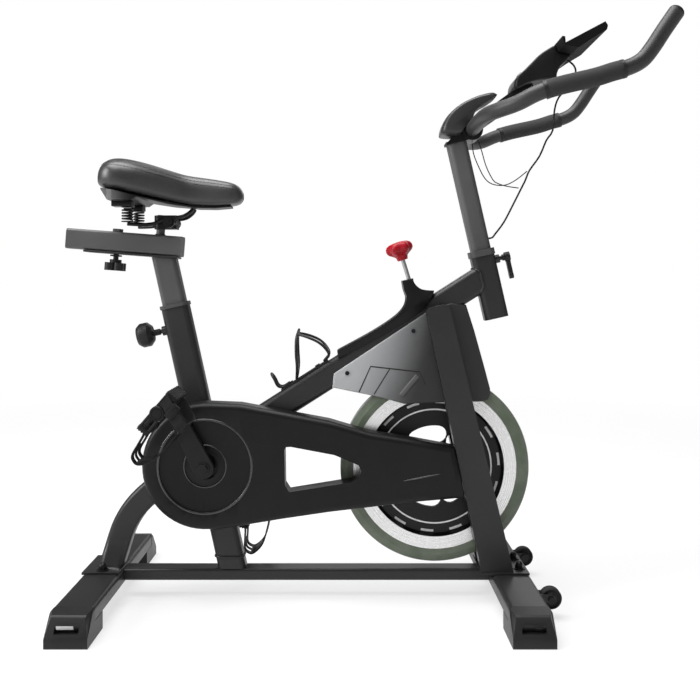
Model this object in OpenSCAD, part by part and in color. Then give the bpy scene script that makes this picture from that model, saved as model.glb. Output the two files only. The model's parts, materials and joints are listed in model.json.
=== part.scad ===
// Indoor exercise bike with belt drive, flywheel and adjustable seat and handlebar.
// +X points forward, +Y to the rider's left, +Z up; the origin is on the floor under the middle.

/* [Frame] */
// Width of the welded frame tubes, side to side
frame_w = 40; // [38:1:42]
// Wall of the steel frame tubes
tube_wall = 2; // [1.6:0.1:2.2]
// Height of the crank axis above the floor
crank_h = 254; // [250:1:262]
// Distance of the crank axis behind the middle of the bike
crank_back = 274; // [268:1:280]
// Fore-and-aft depth of the seat tube
seat_tube_d = 52; // [50:1:56]
// Backward lean of the seat tube from vertical
seat_lean = 12.5; // [11:0.5:14]
// Length of the seat tube above the crank axis
seat_tube_up = 298; // [280:2:310]
// Depth of the sloping main tube
main_tube_d = 48; // [44:1:50]
// Rise of the main tube above horizontal
main_rise = 32.5; // [31.5:0.5:33.5]
// Height above the crank axis at which the main tube meets the seat tube
main_joint_up = 15; // [12:1:18]
// Distance ahead of the middle at which the main tube meets the head tube
head_ahead = 251; // [246:1:256]
// Backward lean of the head tube and handlebar post from vertical
head_lean = 12.8; // [12:0.2:14]
// Fore-and-aft depth of the head tube
head_tube_d = 45; // [44:1:48]
// Length of the head tube below the main tube's centre line
head_below = 83; // [76:1:90]
// Length of the head tube above the main tube's centre line
head_above = 37; // [36:1:44]
// Depth of the curved rear leg
rear_leg_d = 45; // [42:1:47]
// Height of the rectangular base tube
base_tube_h = 22; // [20:1:24]

/* [Fork] */
// Side-to-side thickness of each fork leg
leg_w = 30; // [26:1:31]
// Gap between a fork leg and the sides of the frame tubes
leg_gap = 4.5; // [4.5:0.5:6]
// Depth of a fork leg at its top
leg_top_d = 44; // [40:1:46]
// Depth of a fork leg at its foot
leg_foot_d = 58; // [54:1:59]
// Thickness of the steel foot plates
foot_plate_t = 4; // [3:0.5:5]
// Thickness of the dropout plates that carry the flywheel axle
dropout_t = 6; // [5:0.5:6]

/* [Stabilisers] */
// Overall width over the stabilisers' end caps
stabiliser_w = 524; // [500:2:540]
// Fore-and-aft depth of the stabiliser tubes
stabiliser_d = 70; // [66:1:72]
// Height of the stabiliser tubes' top above the floor
stabiliser_top = 54; // [52:1:58]
// Distance of the rear stabiliser's centre behind the middle
rear_stabiliser_back = 466.5; // [460:0.5:470]
// Distance of the front stabiliser's centre ahead of the middle
front_stabiliser_ahead = 289; // [286:1:292]
// Length of the foot under each end cap
end_foot_l = 92; // [70:1:100]
// Diameter of the transport wheels
wheel_d = 38; // [34:1:40]
// Width of a transport wheel
wheel_w = 18; // [14:1:20]
// Distance of each transport wheel from the middle plane
wheel_y = 122; // [110:1:140]

/* [Drive] */
// Crank length from the crank axis to the pedal axis
crank_l = 130; // [125:1:140]
// Angle of the right crank behind straight up
crank_angle = 27.4; // [20:0.2:35]
// Radius of the belt's path on the drive pulley
drive_pulley_r = 92; // [84:1:94]
// Radius of the belt's path on the flywheel pulley
fly_pulley_r = 26; // [25:1:28]
// Width of the ribbed belt
belt_w = 12; // [10:1:12]
// Radius of the crank axle
crank_axle_r = 8.5; // [8:0.25:10]
// Radius of the flywheel axle
fly_axle_r = 6; // [5:0.25:6.5]
// Outer radius of the flywheel
flywheel_r = 178; // [172:1:180]
// Thickness of the flywheel's rim
rim_w = 30; // [26:1:32]
// Distance of the flywheel axle ahead of the middle
fly_ahead = 152; // [149:1:155]
// Height of the flywheel axle above the floor
fly_h = 244; // [243:1:248]
// Radius of the round end of the belt cover
cover_r = 117; // [114:1:119]
// Wall of the moulded covers
cover_wall = 2.5; // [2:0.1:3]
// Distance of the belt cover's outer face from the middle plane
cover_y = 62; // [61.5:0.5:64]

/* [Pedals] */
// Fore-and-aft length of a pedal
pedal_l = 84; // [78:1:86]
// Width of a pedal along its spindle
pedal_w = 96; // [88:1:100]
// Thickness of a pedal
pedal_t = 24; // [22:1:25]
// Radius of the pedal spindles
spindle_r = 7; // [6:0.25:7.5]

/* [Saddle] */
// Fore-and-aft depth of the inner seat post
seat_post_d = 45; // [44:0.5:45]
// Height of the seat post's top above the seat tube
seat_post_out = 99; // [90:1:108]
// Length of the saddle's slider tube
slider_l = 208; // [205:1:220]
// Height of the slider tube
slider_h = 38; // [34:1:40]
// Width of the slider tube
slider_w = 40; // [36:1:44]
// Nose-down tilt of the slider
slider_tilt = 4.3; // [3:0.1:5]
// Width of the saddle at its back
saddle_w = 196; // [180:1:220]
// Width of the saddle's nose
nose_w = 66; // [56:1:76]

/* [Handlebar] */
// Length of the handlebar post above the main tube's centre line
bar_post_up = 256; // [250:1:262]
// Fore-and-aft depth of the handlebar post
bar_post_d = 38; // [36:0.5:38]
// Diameter of the handlebar tube
bar_d = 27; // [25:0.5:28]
// Diameter of the foam grips
grip_d = 31; // [30:0.5:33]
// Width of the console
console_w = 80; // [70:2:90]
// Width of the tablet shelf
shelf_w = 180; // [150:2:200]

/* [Resistance] */
// Backward lean of the resistance rod from vertical
rod_lean = 17.4; // [16.5:0.2:18.5]
// Diameter of the resistance rod
rod_d = 8; // [6:0.5:9]
// Outer diameter of the lobed resistance knob
knob_d = 51; // [46:1:54]
// Travel of the brake pad down to the rim
brake_travel = 10; // [8:1:11]

/* [Hidden] */
$fn = 48;

// General clearances
run = 0.05;           // radial clearance of a running fit
weld = 0.2;           // clearance left where one piece is coped around another
slide_gap = 0.25;     // clearance of a sliding post in its bushing
big = 2000;

// ---------- shape helpers ----------

// Rounded rectangle with true arcs, centred
module round_rect(w, d, r) {
    square([w - 2 * r, d], center = true);
    square([w, d - 2 * r], center = true);
    for (x = [-1, 1], y = [-1, 1])
        translate([x * (w / 2 - r), y * (d / 2 - r)]) circle(r);
}

// Outline of a hollow section with rounded corners
module hollow_rect(w, d, r, wall) {
    difference() {
        round_rect(w, d, r);
        round_rect(w - 2 * wall, d - 2 * wall, max(r - wall, 1));
    }
}

// Puts children at a point of the XZ plane, with local Z leaning forward by an angle
module at(p, lean = 0) {
    translate([p[0], 0, p[1]]) rotate([0, lean, 0]) children();
}

// Extrudes an XZ outline from y = y0 to y = y1
module slab(y0, y1) {
    translate([0, y1, 0]) rotate([90, 0, 0]) linear_extrude(y1 - y0) children();
}

// Cylinder along Y, centred on a point of the XZ plane
module y_rod(p, r, y0, y1) {
    translate([p[0], y0, p[1]]) rotate([-90, 0, 0]) cylinder(r = r, h = y1 - y0);
}

// The same piece on both sides of the bike
module both_sides() {
    children();
    mirror([0, 1, 0]) children();
}

// Directions in the XZ plane for something that leans forward by an angle
function along(lean) = [sin(lean), cos(lean)];
function across(lean) = [cos(lean), -sin(lean)];
function unit(v) = v / norm(v);

// Points of an arc about c, from angle a0 to a1, in n steps
function arc(c, r, a0, a1, n) =
    [for (i = [0:n]) c + r * [cos(a0 + (a1 - a0) * i / n), sin(a0 + (a1 - a0) * i / n)]];

// Bar with round ends of different radii, from the origin along X
function tapered_points(l, r1, r2) = let(a = acos((r1 - r2) / l))
    concat(arc([0, 0], r1, a, 360 - a, 40), arc([l, 0], r2, -a, a, 32));

// Eight-sided outline that just clears a rectangle with rounded corners
function clear_points(w, d, r) = let(t = r * (2 - sqrt(2)), x = w / 2, y = d / 2)
    [[x, y - t], [x - t, y], [t - x, y], [-x, y - t], [-x, t - y], [t - x, -y], [x - t, -y],
        [x, t - y]];

// Moves every side of an anticlockwise outline inwards by d
function left_of(a, b) = [-(b - a)[1], (b - a)[0]] / norm(b - a);
function inset(p, d) = [for (i = [0:len(p) - 1]) let(
    n1 = left_of(p[(i + len(p) - 1) % len(p)], p[i]),
    n2 = left_of(p[i], p[(i + 1) % len(p)]))
    p[i] + d * (n1 + n2) / (1 + n1 * n2)];

// Outline of a strip of thickness t that follows an open path
function side_of(p, i, s) = let(
    a = i == 0 ? left_of(p[0], p[1]) : left_of(p[i - 1], p[i]),
    b = i == len(p) - 1 ? a : left_of(p[i], p[i + 1]))
    p[i] + s * (a + b) / (1 + a * b);
function strip(p, t) = concat([for (i = [0:len(p) - 1]) side_of(p, i, -t / 2)],
    [for (i = [len(p) - 1:-1:0]) side_of(p, i, t / 2)]);

// Smooth curve through a list of points
function spline_point(a, b, c, d, u) = 0.5 * (2 * b + (c - a) * u
    + (2 * a - 5 * b + 4 * c - d) * u * u + (3 * b - a - 3 * c + d) * u * u * u);
function spline(p, n) = concat([for (i = [0:len(p) - 2], k = [0:n - 1])
    spline_point(p[max(i - 1, 0)], p[i], p[i + 1], p[min(i + 2, len(p) - 1)], k / n)],
    [p[len(p) - 1]]);
function tangent(p, i) = unit(p[min(i + 1, len(p) - 1)] - p[max(i - 1, 0)]);
function mirrored(p) = [for (i = [len(p) - 1:-1:0]) [p[i][0], -p[i][1], p[i][2]]];

// Ring frames are carried along a path, so that a swept tube does not twist
function start_normal(t) = abs(t[1]) < 0.9 ? [0, 1, 0] : [1, 0, 0];
function carried(n, t) = unit(n - (n * t) * t);
function normals(p, i = 0, acc = []) = i == len(p) ? acc :
    normals(p, i + 1, concat(acc, [carried(i == 0 ? start_normal(tangent(p, 0)) : acc[i - 1],
        tangent(p, i))]));

// Round bar of radius r swept along a list of points, or along points first to last of it
module sweep(p, r, sides = 16, first = 0, last = -1) {
    n = normals(p);
    m = (last < 0 ? len(p) - 1 : last) - first;
    rings = [for (i = [first:first + m], k = [0:sides - 1])
        let(b = cross(tangent(p, i), n[i]), a = 360 * k / sides)
        p[i] + r * (cos(a) * n[i] + sin(a) * b)];
    walls = [for (i = [0:m - 1], k = [0:sides - 1]) let(q = (k + 1) % sides)
        [i * sides + k, (i + 1) * sides + k, (i + 1) * sides + q, i * sides + q]];
    polyhedron(rings, concat(walls, [[for (k = [0:sides - 1]) k]],
        [[for (k = [sides - 1:-1:0]) m * sides + k]]), convexity = 6);
}

// Triangles that fill a simple outline: ears are cut off one by one
function turn(a, b, c) = (b[0] - a[0]) * (c[1] - a[1]) - (b[1] - a[1]) * (c[0] - a[0]);
function holds(a, b, c, q) = turn(a, b, q) > -0.0001 && turn(b, c, q) > -0.0001
    && turn(c, a, q) > -0.0001;
function is_ear(p, v, i) = let(
    n = len(v),
    a = v[(i + n - 1) % n],
    b = v[i],
    c = v[(i + 1) % n])
    turn(p[a], p[b], p[c]) > 0.0001
    && len([for (k = v) if (k != a && k != b && k != c && holds(p[a], p[b], p[c], p[k])) k]) == 0;
function next_ear(p, v, i = 0) = i >= len(v) - 1 || is_ear(p, v, i) ? i : next_ear(p, v, i + 1);
function ears(p, v) = len(v) == 3 ? [v] : let(n = len(v), i = next_ear(p, v))
    concat([[v[(i + n - 1) % n], v[i], v[(i + 1) % n]]],
        ears(p, [for (k = [0:n - 1]) if (k != i) v[k]]));

// Solid through matching XZ outlines at rising values of y
module loft(outlines, ys) {
    n = len(outlines[0]);
    m = len(outlines) - 1;
    pts = [for (i = [0:m], q = outlines[i]) [q[0], ys[i], q[1]]];
    walls = [for (i = [0:m - 1], k = [0:n - 1]) let(q = (k + 1) % n)
        [i * n + k, i * n + q, (i + 1) * n + q, (i + 1) * n + k]];
    near = ears(outlines[0], [for (k = [0:n - 1]) k]);
    far = ears(outlines[m], [for (k = [0:n - 1]) k]);
    polyhedron(pts, concat(walls, [for (t = near) [t[2], t[1], t[0]]],
        [for (t = far) [m * n + t[0], m * n + t[1], m * n + t[2]]]), convexity = 8);
}

// Slab between y0 and y1 whose side edges are rounded with radius r
module soft_slab(p, y0, y1, r, n = 3) {
    edge = [for (i = [0:n]) [r * (1 - cos(90 * i / n)), r * (1 - sin(90 * i / n))]];
    loft(concat([for (e = edge) inset(p, e[1])], [for (i = [n:-1:0]) inset(p, edge[i][1])]),
        concat([for (e = edge) y0 + e[0]], [for (i = [n:-1:0]) y1 - edge[i][0]]));
}

// ---------- shared layout ----------

crank_p = [-crank_back, crank_h];
fly_p = [fly_ahead, fly_h];
half_w = frame_w / 2;
function seat_at(s, x = 0) = crank_p + s * along(-seat_lean) + x * across(-seat_lean);
main_foot = seat_at(main_joint_up / cos(seat_lean));
main_dir = [cos(main_rise), sin(main_rise)];
main_up = [-sin(main_rise), cos(main_rise)];
main_l = (head_ahead - main_foot[0]) / main_dir[0];
head_p = main_foot + main_l * main_dir;
function head_at(s, x = 0) = head_p + s * along(-head_lean) + x * across(-head_lean);
function main_at(x, n = 0) = main_foot + (x - main_foot[0]) / main_dir[0] * main_dir
    + n * main_up;

base_top = stabiliser_top;
plate_top = base_top + foot_plate_t;
rear_face = -rear_stabiliser_back + stabiliser_d / 2;
front_face = front_stabiliser_ahead - stabiliser_d / 2;
leg_in = half_w + leg_gap;
leg_out = leg_in + leg_w;
drop_in = 40;
drop_out = drop_in + dropout_t;

// ---------- welded frame ----------

frame_grey = "#3d3c3c";
shell_r = 21;         // bottom bracket shell
shell_left = 54;      // the shell runs further out on the open side
bearing_r = 19;
pin_s = 259;          // height of the seat pin along the seat tube
pin_r = 4;
lever_s = 26;         // height of the head lever along the head tube
lever_r = 4;

module seat_solid(grow = 0) {
    at(crank_p, -seat_lean) translate([0, 0, -260]) linear_extrude(260 + seat_tube_up)
        polygon(clear_points(seat_tube_d + 2 * grow, frame_w + 2 * grow, 12 + grow));
}
module head_solid(grow = 0) {
    at(head_p, -head_lean) translate([0, 0, -head_below])
        linear_extrude(head_below + head_above)
            polygon(clear_points(head_tube_d + 2 * grow, frame_w + 2 * grow, 10 + grow));
}
module main_solid(grow = 0) {
    at(main_foot, 90 - main_rise) translate([0, 0, -10]) linear_extrude(main_l + 15)
        polygon(clear_points(main_tube_d + 2 * grow, frame_w + 2 * grow, 10 + grow));
}
module below(z) {
    translate([-big / 2, -big / 2, z - big]) cube(big);
}

module base_tube() {
    color(frame_grey) translate([rear_face, 0, base_top - base_tube_h / 2])
        rotate([0, 90, 0]) linear_extrude(front_face - rear_face)
            hollow_rect(base_tube_h, frame_w, 5, tube_wall);
}

module seat_tube() {
    color(frame_grey) difference() {
        union() {
            difference() {
                at(crank_p, -seat_lean) translate([0, 0, -260])
                    linear_extrude(260 + seat_tube_up)
                        hollow_rect(seat_tube_d, frame_w, 12, tube_wall);
                below(base_top);
            }
            at(seat_at(pin_s, -seat_tube_d / 2 + 1), -seat_lean) rotate([0, -90, 0])
                cylinder(r = 9, h = 9);
        }
        y_rod(crank_p, shell_r + weld, -40, 40);
        at(seat_at(pin_s), -seat_lean) rotate([0, -90, 0]) cylinder(r = pin_r + run, h = 60);
    }
}

module main_tube() {
    color(frame_grey) difference() {
        at(main_foot, 90 - main_rise) translate([0, 0, -10]) linear_extrude(main_l + 15)
            hollow_rect(main_tube_d, frame_w, 10, tube_wall);
        seat_solid(weld);
        head_solid(weld);
        at(rod_p, -rod_lean) translate([0, 0, -200]) cylinder(r = rod_d / 2 + 3, h = 200);
    }
}

leg_bend_r = 165;
leg_foot = [-rear_stabiliser_back + 7.5, 56];
leg_lean = 17;
leg_lean_top = 51;
leg_p1 = leg_foot + 60 * along(leg_lean);
leg_c = leg_p1 + leg_bend_r * across(leg_lean);
leg_p2 = leg_c - leg_bend_r * across(leg_lean_top);
rear_bolt_y = 40;
front_bolt_y = 30;
front_bolt_x = front_stabiliser_ahead + 19;
bolt_r = 4;
leg_wall = 4;
leg_corner = 10;
// Side view of the rear leg at thickness t, from level z to g behind the seat tube's face
function leg_foot_at(x, z) = let(p = leg_foot + x * across(leg_lean))
    p + (z - p[1]) / cos(leg_lean) * along(leg_lean);
function leg_top_at(x, g) = let(
    p = leg_p2 + x * across(leg_lean_top),
    n = across(-seat_lean),
    d = along(leg_lean_top))
    p + ((seat_at(0, g - seat_tube_d / 2) - p) * n) / (d * n) * d;
function leg_side(t, z, g) = concat([leg_foot_at(t / 2, z)],
    arc(leg_c, leg_bend_r - t / 2, 180 - leg_lean, 180 - leg_lean_top, 8),
    [leg_top_at(t / 2, g), leg_top_at(-t / 2, g)],
    arc(leg_c, leg_bend_r + t / 2, 180 - leg_lean_top, 180 - leg_lean, 8),
    [leg_foot_at(-t / 2, z)]);
module leg_tube() {
    half = [for (i = [0:3]) [half_w - leg_corner * (1 - cos(30 * i)),
        rear_leg_d - 2 * leg_corner * (1 - sin(30 * i))]];
    rings = concat([for (e = half) [-e[0], e[1]]], [for (i = [3:-1:0]) half[i]]);
    loft([for (e = rings) leg_side(e[1], plate_top, 0)], [for (e = rings) e[0]]);
}
module rear_leg() {
    color(frame_grey) {
        difference() {
            leg_tube();
            slab(-half_w + leg_wall, half_w - leg_wall)
                polygon(leg_side(rear_leg_d - 2 * leg_wall, plate_top - 5, 5));
        }
        difference() {
            translate([-rear_stabiliser_back - 35, -55, base_top])
                cube([69, 110, foot_plate_t]);
            both_sides() translate([-rear_stabiliser_back, rear_bolt_y, 0])
                cylinder(r = bolt_r + weld, h = 100);
            translate([leg_foot[0], 0, 0]) cylinder(r = 5, h = 100);
        }
    }
}

fork_top = main_at(155, 4);
fork_foot = [front_stabiliser_ahead - 24.5, 56];
fork_dir = unit(fork_foot - fork_top);
fork_n = [fork_dir[1], -fork_dir[0]];
function fork_outline(i) = [
    fork_top + i * fork_dir + (leg_top_d / 2 - i - 7) * fork_n,
    fork_top + (i + 7) * fork_dir + (leg_top_d / 2 - i) * fork_n,
    fork_foot + 20 * fork_dir + (leg_foot_d / 2 - i) * fork_n,
    fork_foot + 20 * fork_dir - (leg_foot_d / 2 - i) * fork_n,
    fork_top + (i + 7) * fork_dir - (leg_top_d / 2 - i) * fork_n,
    fork_top + i * fork_dir - (leg_top_d / 2 - i - 7) * fork_n];
module fork() {
    color(frame_grey) {
        both_sides() difference() {
            union() {
                slab(leg_in, leg_out) polygon(fork_outline(0));
                // dropout plate
                slab(drop_in, drop_out) difference() {
                    union() {
                        translate(fly_p) circle(21);
                        translate(fly_p - [0, 21]) square([60, 42]);
                    }
                    polygon(fork_outline(tube_wall));
                    translate(fly_p) circle(fly_axle_r + weld);
                }
                // pad welded to the main tube
                translate([fork_top[0], leg_in - leg_gap / 2, fork_top[1] - 12])
                    rotate([0, -main_rise, 0]) cube([30, leg_gap, 22], center = true);
            }
            slab(leg_in + tube_wall, leg_out - tube_wall) polygon(fork_outline(tube_wall));
            below(plate_top);
        }
        difference() {
            translate([front_stabiliser_ahead - 56, -58, base_top])
                cube([89, 116, foot_plate_t]);
            both_sides() translate([front_bolt_x, front_bolt_y, 0])
                cylinder(r = bolt_r + weld, h = 100);
            both_sides() translate([fork_foot[0], (leg_in + leg_out) / 2, 0])
                cylinder(r = 4, h = 100);
        }
    }
}

module head_tube() {
    color(frame_grey) difference() {
        union() {
            at(head_p, -head_lean) translate([0, 0, -head_below])
                linear_extrude(head_below + head_above)
                    hollow_rect(head_tube_d, frame_w, 10, tube_wall);
            at(head_at(lever_s, head_tube_d / 2 - 1), -head_lean) rotate([0, 90, 0])
                cylinder(r = 8, h = 10);
        }
        at(head_at(lever_s), -head_lean) rotate([0, 90, 0])
            cylinder(r = lever_r + run, h = 60);
    }
}

module bottom_bracket_shell() {
    color(frame_grey) difference() {
        y_rod(crank_p, shell_r, -half_w - 0.3, shell_left);
        y_rod(crank_p, bearing_r, -half_w - 1, shell_left + 1);
    }
}

module bottom_bracket_bearings() {
    color("#8b8d90") for (y = [-half_w, shell_left - 12]) difference() {
        y_rod(crank_p, bearing_r - 0.05, y, y + 12);
        y_rod(crank_p, crank_axle_r + run, y - 1, y + 13);
    }
}

axle_end = 57;
module nut(p, r, y0, y1) {
    translate([p[0], y0, p[1]]) rotate([-90, 0, 0]) cylinder(r = r, h = y1 - y0, $fn = 6);
}
module flywheel_axle() {
    color("#8b8d90") {
        y_rod(fly_p, fly_axle_r, -axle_end, axle_end);
        both_sides() difference() {
            union() {
                nut(fly_p, 11, drop_out + 1.5, drop_out + 9);
                y_rod(fly_p, 13, drop_out, drop_out + 1.5);
            }
            y_rod(fly_p, fly_axle_r - 0.5, 0, 80);
        }
        difference() {
            union() {
                y_rod(fly_p, 10, hub_left + 0.6, drop_in);
                y_rod(fly_p, 10, -drop_in, hub_right - 0.6);
            }
            y_rod(fly_p, fly_axle_r - 0.5, -80, 80);
        }
    }
}

// ---------- stabilisers and transport wheels ----------

stab_h = 24;
stab_low = base_top - stab_h;
cap_l = 46;
stab_end = stabiliser_w / 2 - cap_l;
module stab_section(i) {
    translate([-stabiliser_d / 2 + i, i]) square([stabiliser_d - 2 * i, stab_h - 8 - i]);
    translate([-stabiliser_d / 2 + 8, 8]) square([stabiliser_d - 16, stab_h - 8 - i]);
    for (x = [-1, 1]) translate([x * (stabiliser_d / 2 - 8), stab_h - 8]) circle(8 - i);
}
module stab_tube(x) {
    difference() {
        translate([x, 0, stab_low]) slab(-stab_end, stab_end) difference() {
            stab_section(0);
            stab_section(tube_wall);
        }
        children();
    }
}
module rear_stabiliser() {
    color(frame_grey) stab_tube(-rear_stabiliser_back)
        both_sides() translate([-rear_stabiliser_back, rear_bolt_y, 0])
            cylinder(r = bolt_r + weld, h = 100);
}

wheel_p = [front_stabiliser_ahead + 56, 36];
wheel_axle_r = 4;
ear_in = wheel_w / 2 + 1;
module front_stabiliser() {
    color(frame_grey) {
        stab_tube(front_stabiliser_ahead)
            both_sides() translate([front_bolt_x, front_bolt_y, 0])
                cylinder(r = bolt_r + weld, h = 100);
        // ears that carry the transport wheels
        both_sides() for (y = [wheel_y - ear_in - 3, wheel_y + ear_in])
            slab(y, y + 3) difference() {
                union() {
                    translate(wheel_p) circle(8);
                    translate([front_face + stabiliser_d, stab_low + 1])
                        square([wheel_p[0] - front_face - stabiliser_d, 14]);
                }
                translate(wheel_p) circle(wheel_axle_r + weld);
            }
        both_sides() translate([front_face + stabiliser_d, wheel_y - ear_in - 3, stab_low + 1])
            cube([1.6, 2 * ear_in + 6, 14]);
    }
}

// Side view of an end cap: upright lower edge, leaning face, sloping top, foot under the tube
cap_face = [[0, 16], [-13, 45], [-19, 49]];
function cap_side(e) = concat([[e - end_foot_l, 1.5], [e - end_foot_l + 1.5, 0], [e - 1.5, 0], [e, 1.5]],
    [for (p = cap_face) p + [e, 0]],
    [[stab_end, base_top], [stab_end, stab_low], [e - end_foot_l, stab_low]]);
module cap_section(d) {
    translate([-d / 2, 0]) square([d, base_top - 8]);
    translate([-d / 2 + 8, 0]) square([d - 16, base_top]);
    for (s = [-1, 1]) translate([s * (d / 2 - 8), base_top - 8]) circle(8);
}
// Wedge that draws in one side of the cap's leaning face
module cap_cheek(e, d) {
    p = [[d / 2 + 0.1, e + 1, 15], [d / 2 - 8, e - 13, 47], [d / 2 - 2, stab_end + 6, base_top + 1]];
    out = [40, 6, 12];
    polyhedron([p[0], p[1], p[2], p[0] + out, p[1] + out, p[2] + out],
        [[0, 1, 2], [5, 4, 3], [0, 3, 4], [0, 4, 1], [1, 4, 5], [1, 5, 2], [2, 5, 3], [2, 3, 0]]);
}
module end_cap(x) {
    e = stabiliser_w / 2;
    d = stabiliser_d + 1;
    translate([x, 0, 0]) difference() {
        intersection() {
            translate([-d / 2, 0, 0]) rotate([90, 0, 90]) linear_extrude(d) polygon(cap_side(e));
            translate([0, e + 1, 0]) rotate([90, 0, 0]) linear_extrude(end_foot_l + 2) cap_section(d);
        }
        cap_cheek(e, d);
        mirror([1, 0, 0]) cap_cheek(e, d);
        // window let into the leaning face
        translate([0, e - 6.5, 30.5]) rotate([-24.1, 0, 0]) translate([-20, -2, -8]) cube([40, 8, 16]);
        // hollow underside
        translate([-27, e - end_foot_l + 8, -1]) cube([54, end_foot_l - 28, 5]);
    }
}
module end_caps() {
    color("#242526") both_sides() {
        end_cap(-rear_stabiliser_back);
        end_cap(front_stabiliser_ahead);
    }
}

module dome_bolt(x, y) {
    translate([x, y, 0]) {
        translate([0, 0, stab_low - 3]) cylinder(r = 8, h = 3);
        translate([0, 0, stab_low - 1]) cylinder(r = bolt_r, h = plate_top - stab_low + 8);
        translate([0, 0, plate_top]) cylinder(r = 11, h = 1.6);
        translate([0, 0, plate_top + 1.6]) cylinder(r = 8, h = 6, $fn = 6);
        translate([0, 0, plate_top + 7.6]) intersection() {
            sphere(6.6);
            cylinder(r = 8, h = 8);
        }
    }
}
module stabiliser_bolts() {
    color("#a9abad") both_sides() {
        dome_bolt(-rear_stabiliser_back, rear_bolt_y);
        dome_bolt(front_bolt_x, front_bolt_y);
    }
}

module wheel_axles() {
    color("#8b8d90") both_sides() {
        y_rod(wheel_p, wheel_axle_r, wheel_y - ear_in - 3, wheel_y + ear_in + 6);
        y_rod(wheel_p, 7, wheel_y - ear_in - 7, wheel_y - ear_in - 3);
        nut(wheel_p, 6.5, wheel_y + ear_in + 3, wheel_y + ear_in + 8);
    }
}

module transport_wheel() {
    r = wheel_d / 2;
    h = wheel_w / 2;
    translate([wheel_p[0], 0, wheel_p[1]]) rotate([90, 0, 0]) rotate_extrude($fn = 72)
        polygon([[wheel_axle_r + run, -h], [r * 0.5, -h], [r * 0.55, -h + 2],
            [r * 0.78, -h + 2], [r * 0.82, -h], [r - 2, -h], [r, -h + 2], [r, h - 2],
            [r - 2, h], [r * 0.82, h], [r * 0.78, h - 2], [r * 0.55, h - 2],
            [r * 0.5, h], [wheel_axle_r + run, h]]);
}
module transport_wheel_right() {
    color("#1d1e1f") translate([0, -wheel_y, 0]) transport_wheel();
}
module transport_wheel_left() {
    color("#1d1e1f") translate([0, wheel_y, 0]) transport_wheel();
}

// ---------- flywheel and drive ----------

belt_y0 = -36;
belt_y1 = belt_y0 + belt_w;
hub_left = 26;
hub_right = -38;
hub_r = 24;
web_t = 8;
rim_in = 130;
// Curved slot between two radii, with round ends at plus and minus half an angle
function kidney(r0, r1, half) = let(c = (r0 + r1) / 2, e = (r1 - r0) / 2)
    concat(arc([0, 0], r1, -half, half, 12),
        [for (i = [1:7]) let(a = half + 180 * i / 8) c * [cos(half), sin(half)]
            + e * [cos(a), sin(a)]],
        arc([0, 0], r0, half, -half, 8),
        [for (i = [1:7]) let(a = 180 - half + 180 * i / 8) c * [cos(half), -sin(half)]
            + e * [cos(a), sin(a)]]);
module flywheel() {
    h = rim_w / 2;
    color("#6f7370") difference() {
        translate([fly_p[0], 0, fly_p[1]]) rotate([90, 0, 0]) rotate_extrude($fn = 144)
            polygon([[hub_r + weld, -web_t / 2], [rim_in - 4, -web_t / 2], [rim_in, -h],
                [flywheel_r - 13, -h], [flywheel_r, -h + 6], [flywheel_r, h - 6],
                [flywheel_r - 13, h], [rim_in, h], [rim_in - 4, web_t / 2],
                [hub_r + weld, web_t / 2]]);
        // kidney windows in the web
        for (k = [0:4]) slab(-10, 10) translate(fly_p) rotate(103 + 72 * k)
            polygon(kidney(45, 77, 20));
    }
}

module flywheel_hub() {
    color("#2c2d2e") translate([fly_p[0], 0, fly_p[1]]) rotate([90, 0, 0]) rotate_extrude($fn = 96)
        // radius against distance towards the right side
        polygon([[14, -hub_left], [18, -hub_left], [18, -14], [38, -10], [38, -web_t / 2],
            [hub_r, -web_t / 2], [hub_r, -belt_y1 - 1.4], [fly_pulley_r + 4, -belt_y1 - 1],
            [fly_pulley_r + 4, -belt_y1 - 0.2], [fly_pulley_r, -belt_y1 - 0.2],
            [fly_pulley_r, -belt_y0 + 0.2], [fly_pulley_r + 4, -belt_y0 + 0.2],
            [fly_pulley_r + 4, -belt_y0 + 1.2], [20, -hub_right], [14, -hub_right]]);
}

module flywheel_bearings() {
    color("#8b8d90") for (y = [hub_right + 1, hub_left - 11]) difference() {
        y_rod(fly_p, 13.95, y, y + 10);
        y_rod(fly_p, fly_axle_r + run, y - 1, y + 11);
    }
}

belt_l = norm(fly_p - crank_p);
belt_turn = atan2(fly_p[1] - crank_p[1], fly_p[0] - crank_p[0]);
module drive_belt() {
    color("#1a1a1a") slab(belt_y0 + 0.3, belt_y1 - 0.3) translate(crank_p) rotate(belt_turn)
        difference() {
            polygon(tapered_points(belt_l, drive_pulley_r + 3.5, fly_pulley_r + 3.5));
            polygon(tapered_points(belt_l, drive_pulley_r + 0.6, fly_pulley_r + 0.6));
        }
}

module crank_axle() {
    color("#8b8d90") y_rod(crank_p, crank_axle_r, -arm_out, arm_out);
}

module drive_pulley() {
    color("#4c4d4f") difference() {
        translate([crank_p[0], 0, crank_p[1]]) rotate([90, 0, 0]) rotate_extrude($fn = 120)
            polygon([[crank_axle_r + 0.1, 22.8], [26, 22.8], [26, 28], [drive_pulley_r - 8, 28],
                [drive_pulley_r - 8, -belt_y1], [drive_pulley_r, -belt_y1],
                [drive_pulley_r, -belt_y0], [drive_pulley_r - 8, -belt_y0],
                [drive_pulley_r - 8, 33], [26, 33], [26, 44], [crank_axle_r + 0.1, 44]]);
        for (k = [0:5]) rotate_about(crank_p, 60 * k) y_rod(crank_p + [55, 0], 17, -40, -20);
    }
}
module rotate_about(p, a) {
    translate([p[0], 0, p[1]]) rotate([0, a, 0]) translate([-p[0], 0, -p[1]]) children();
}

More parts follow.
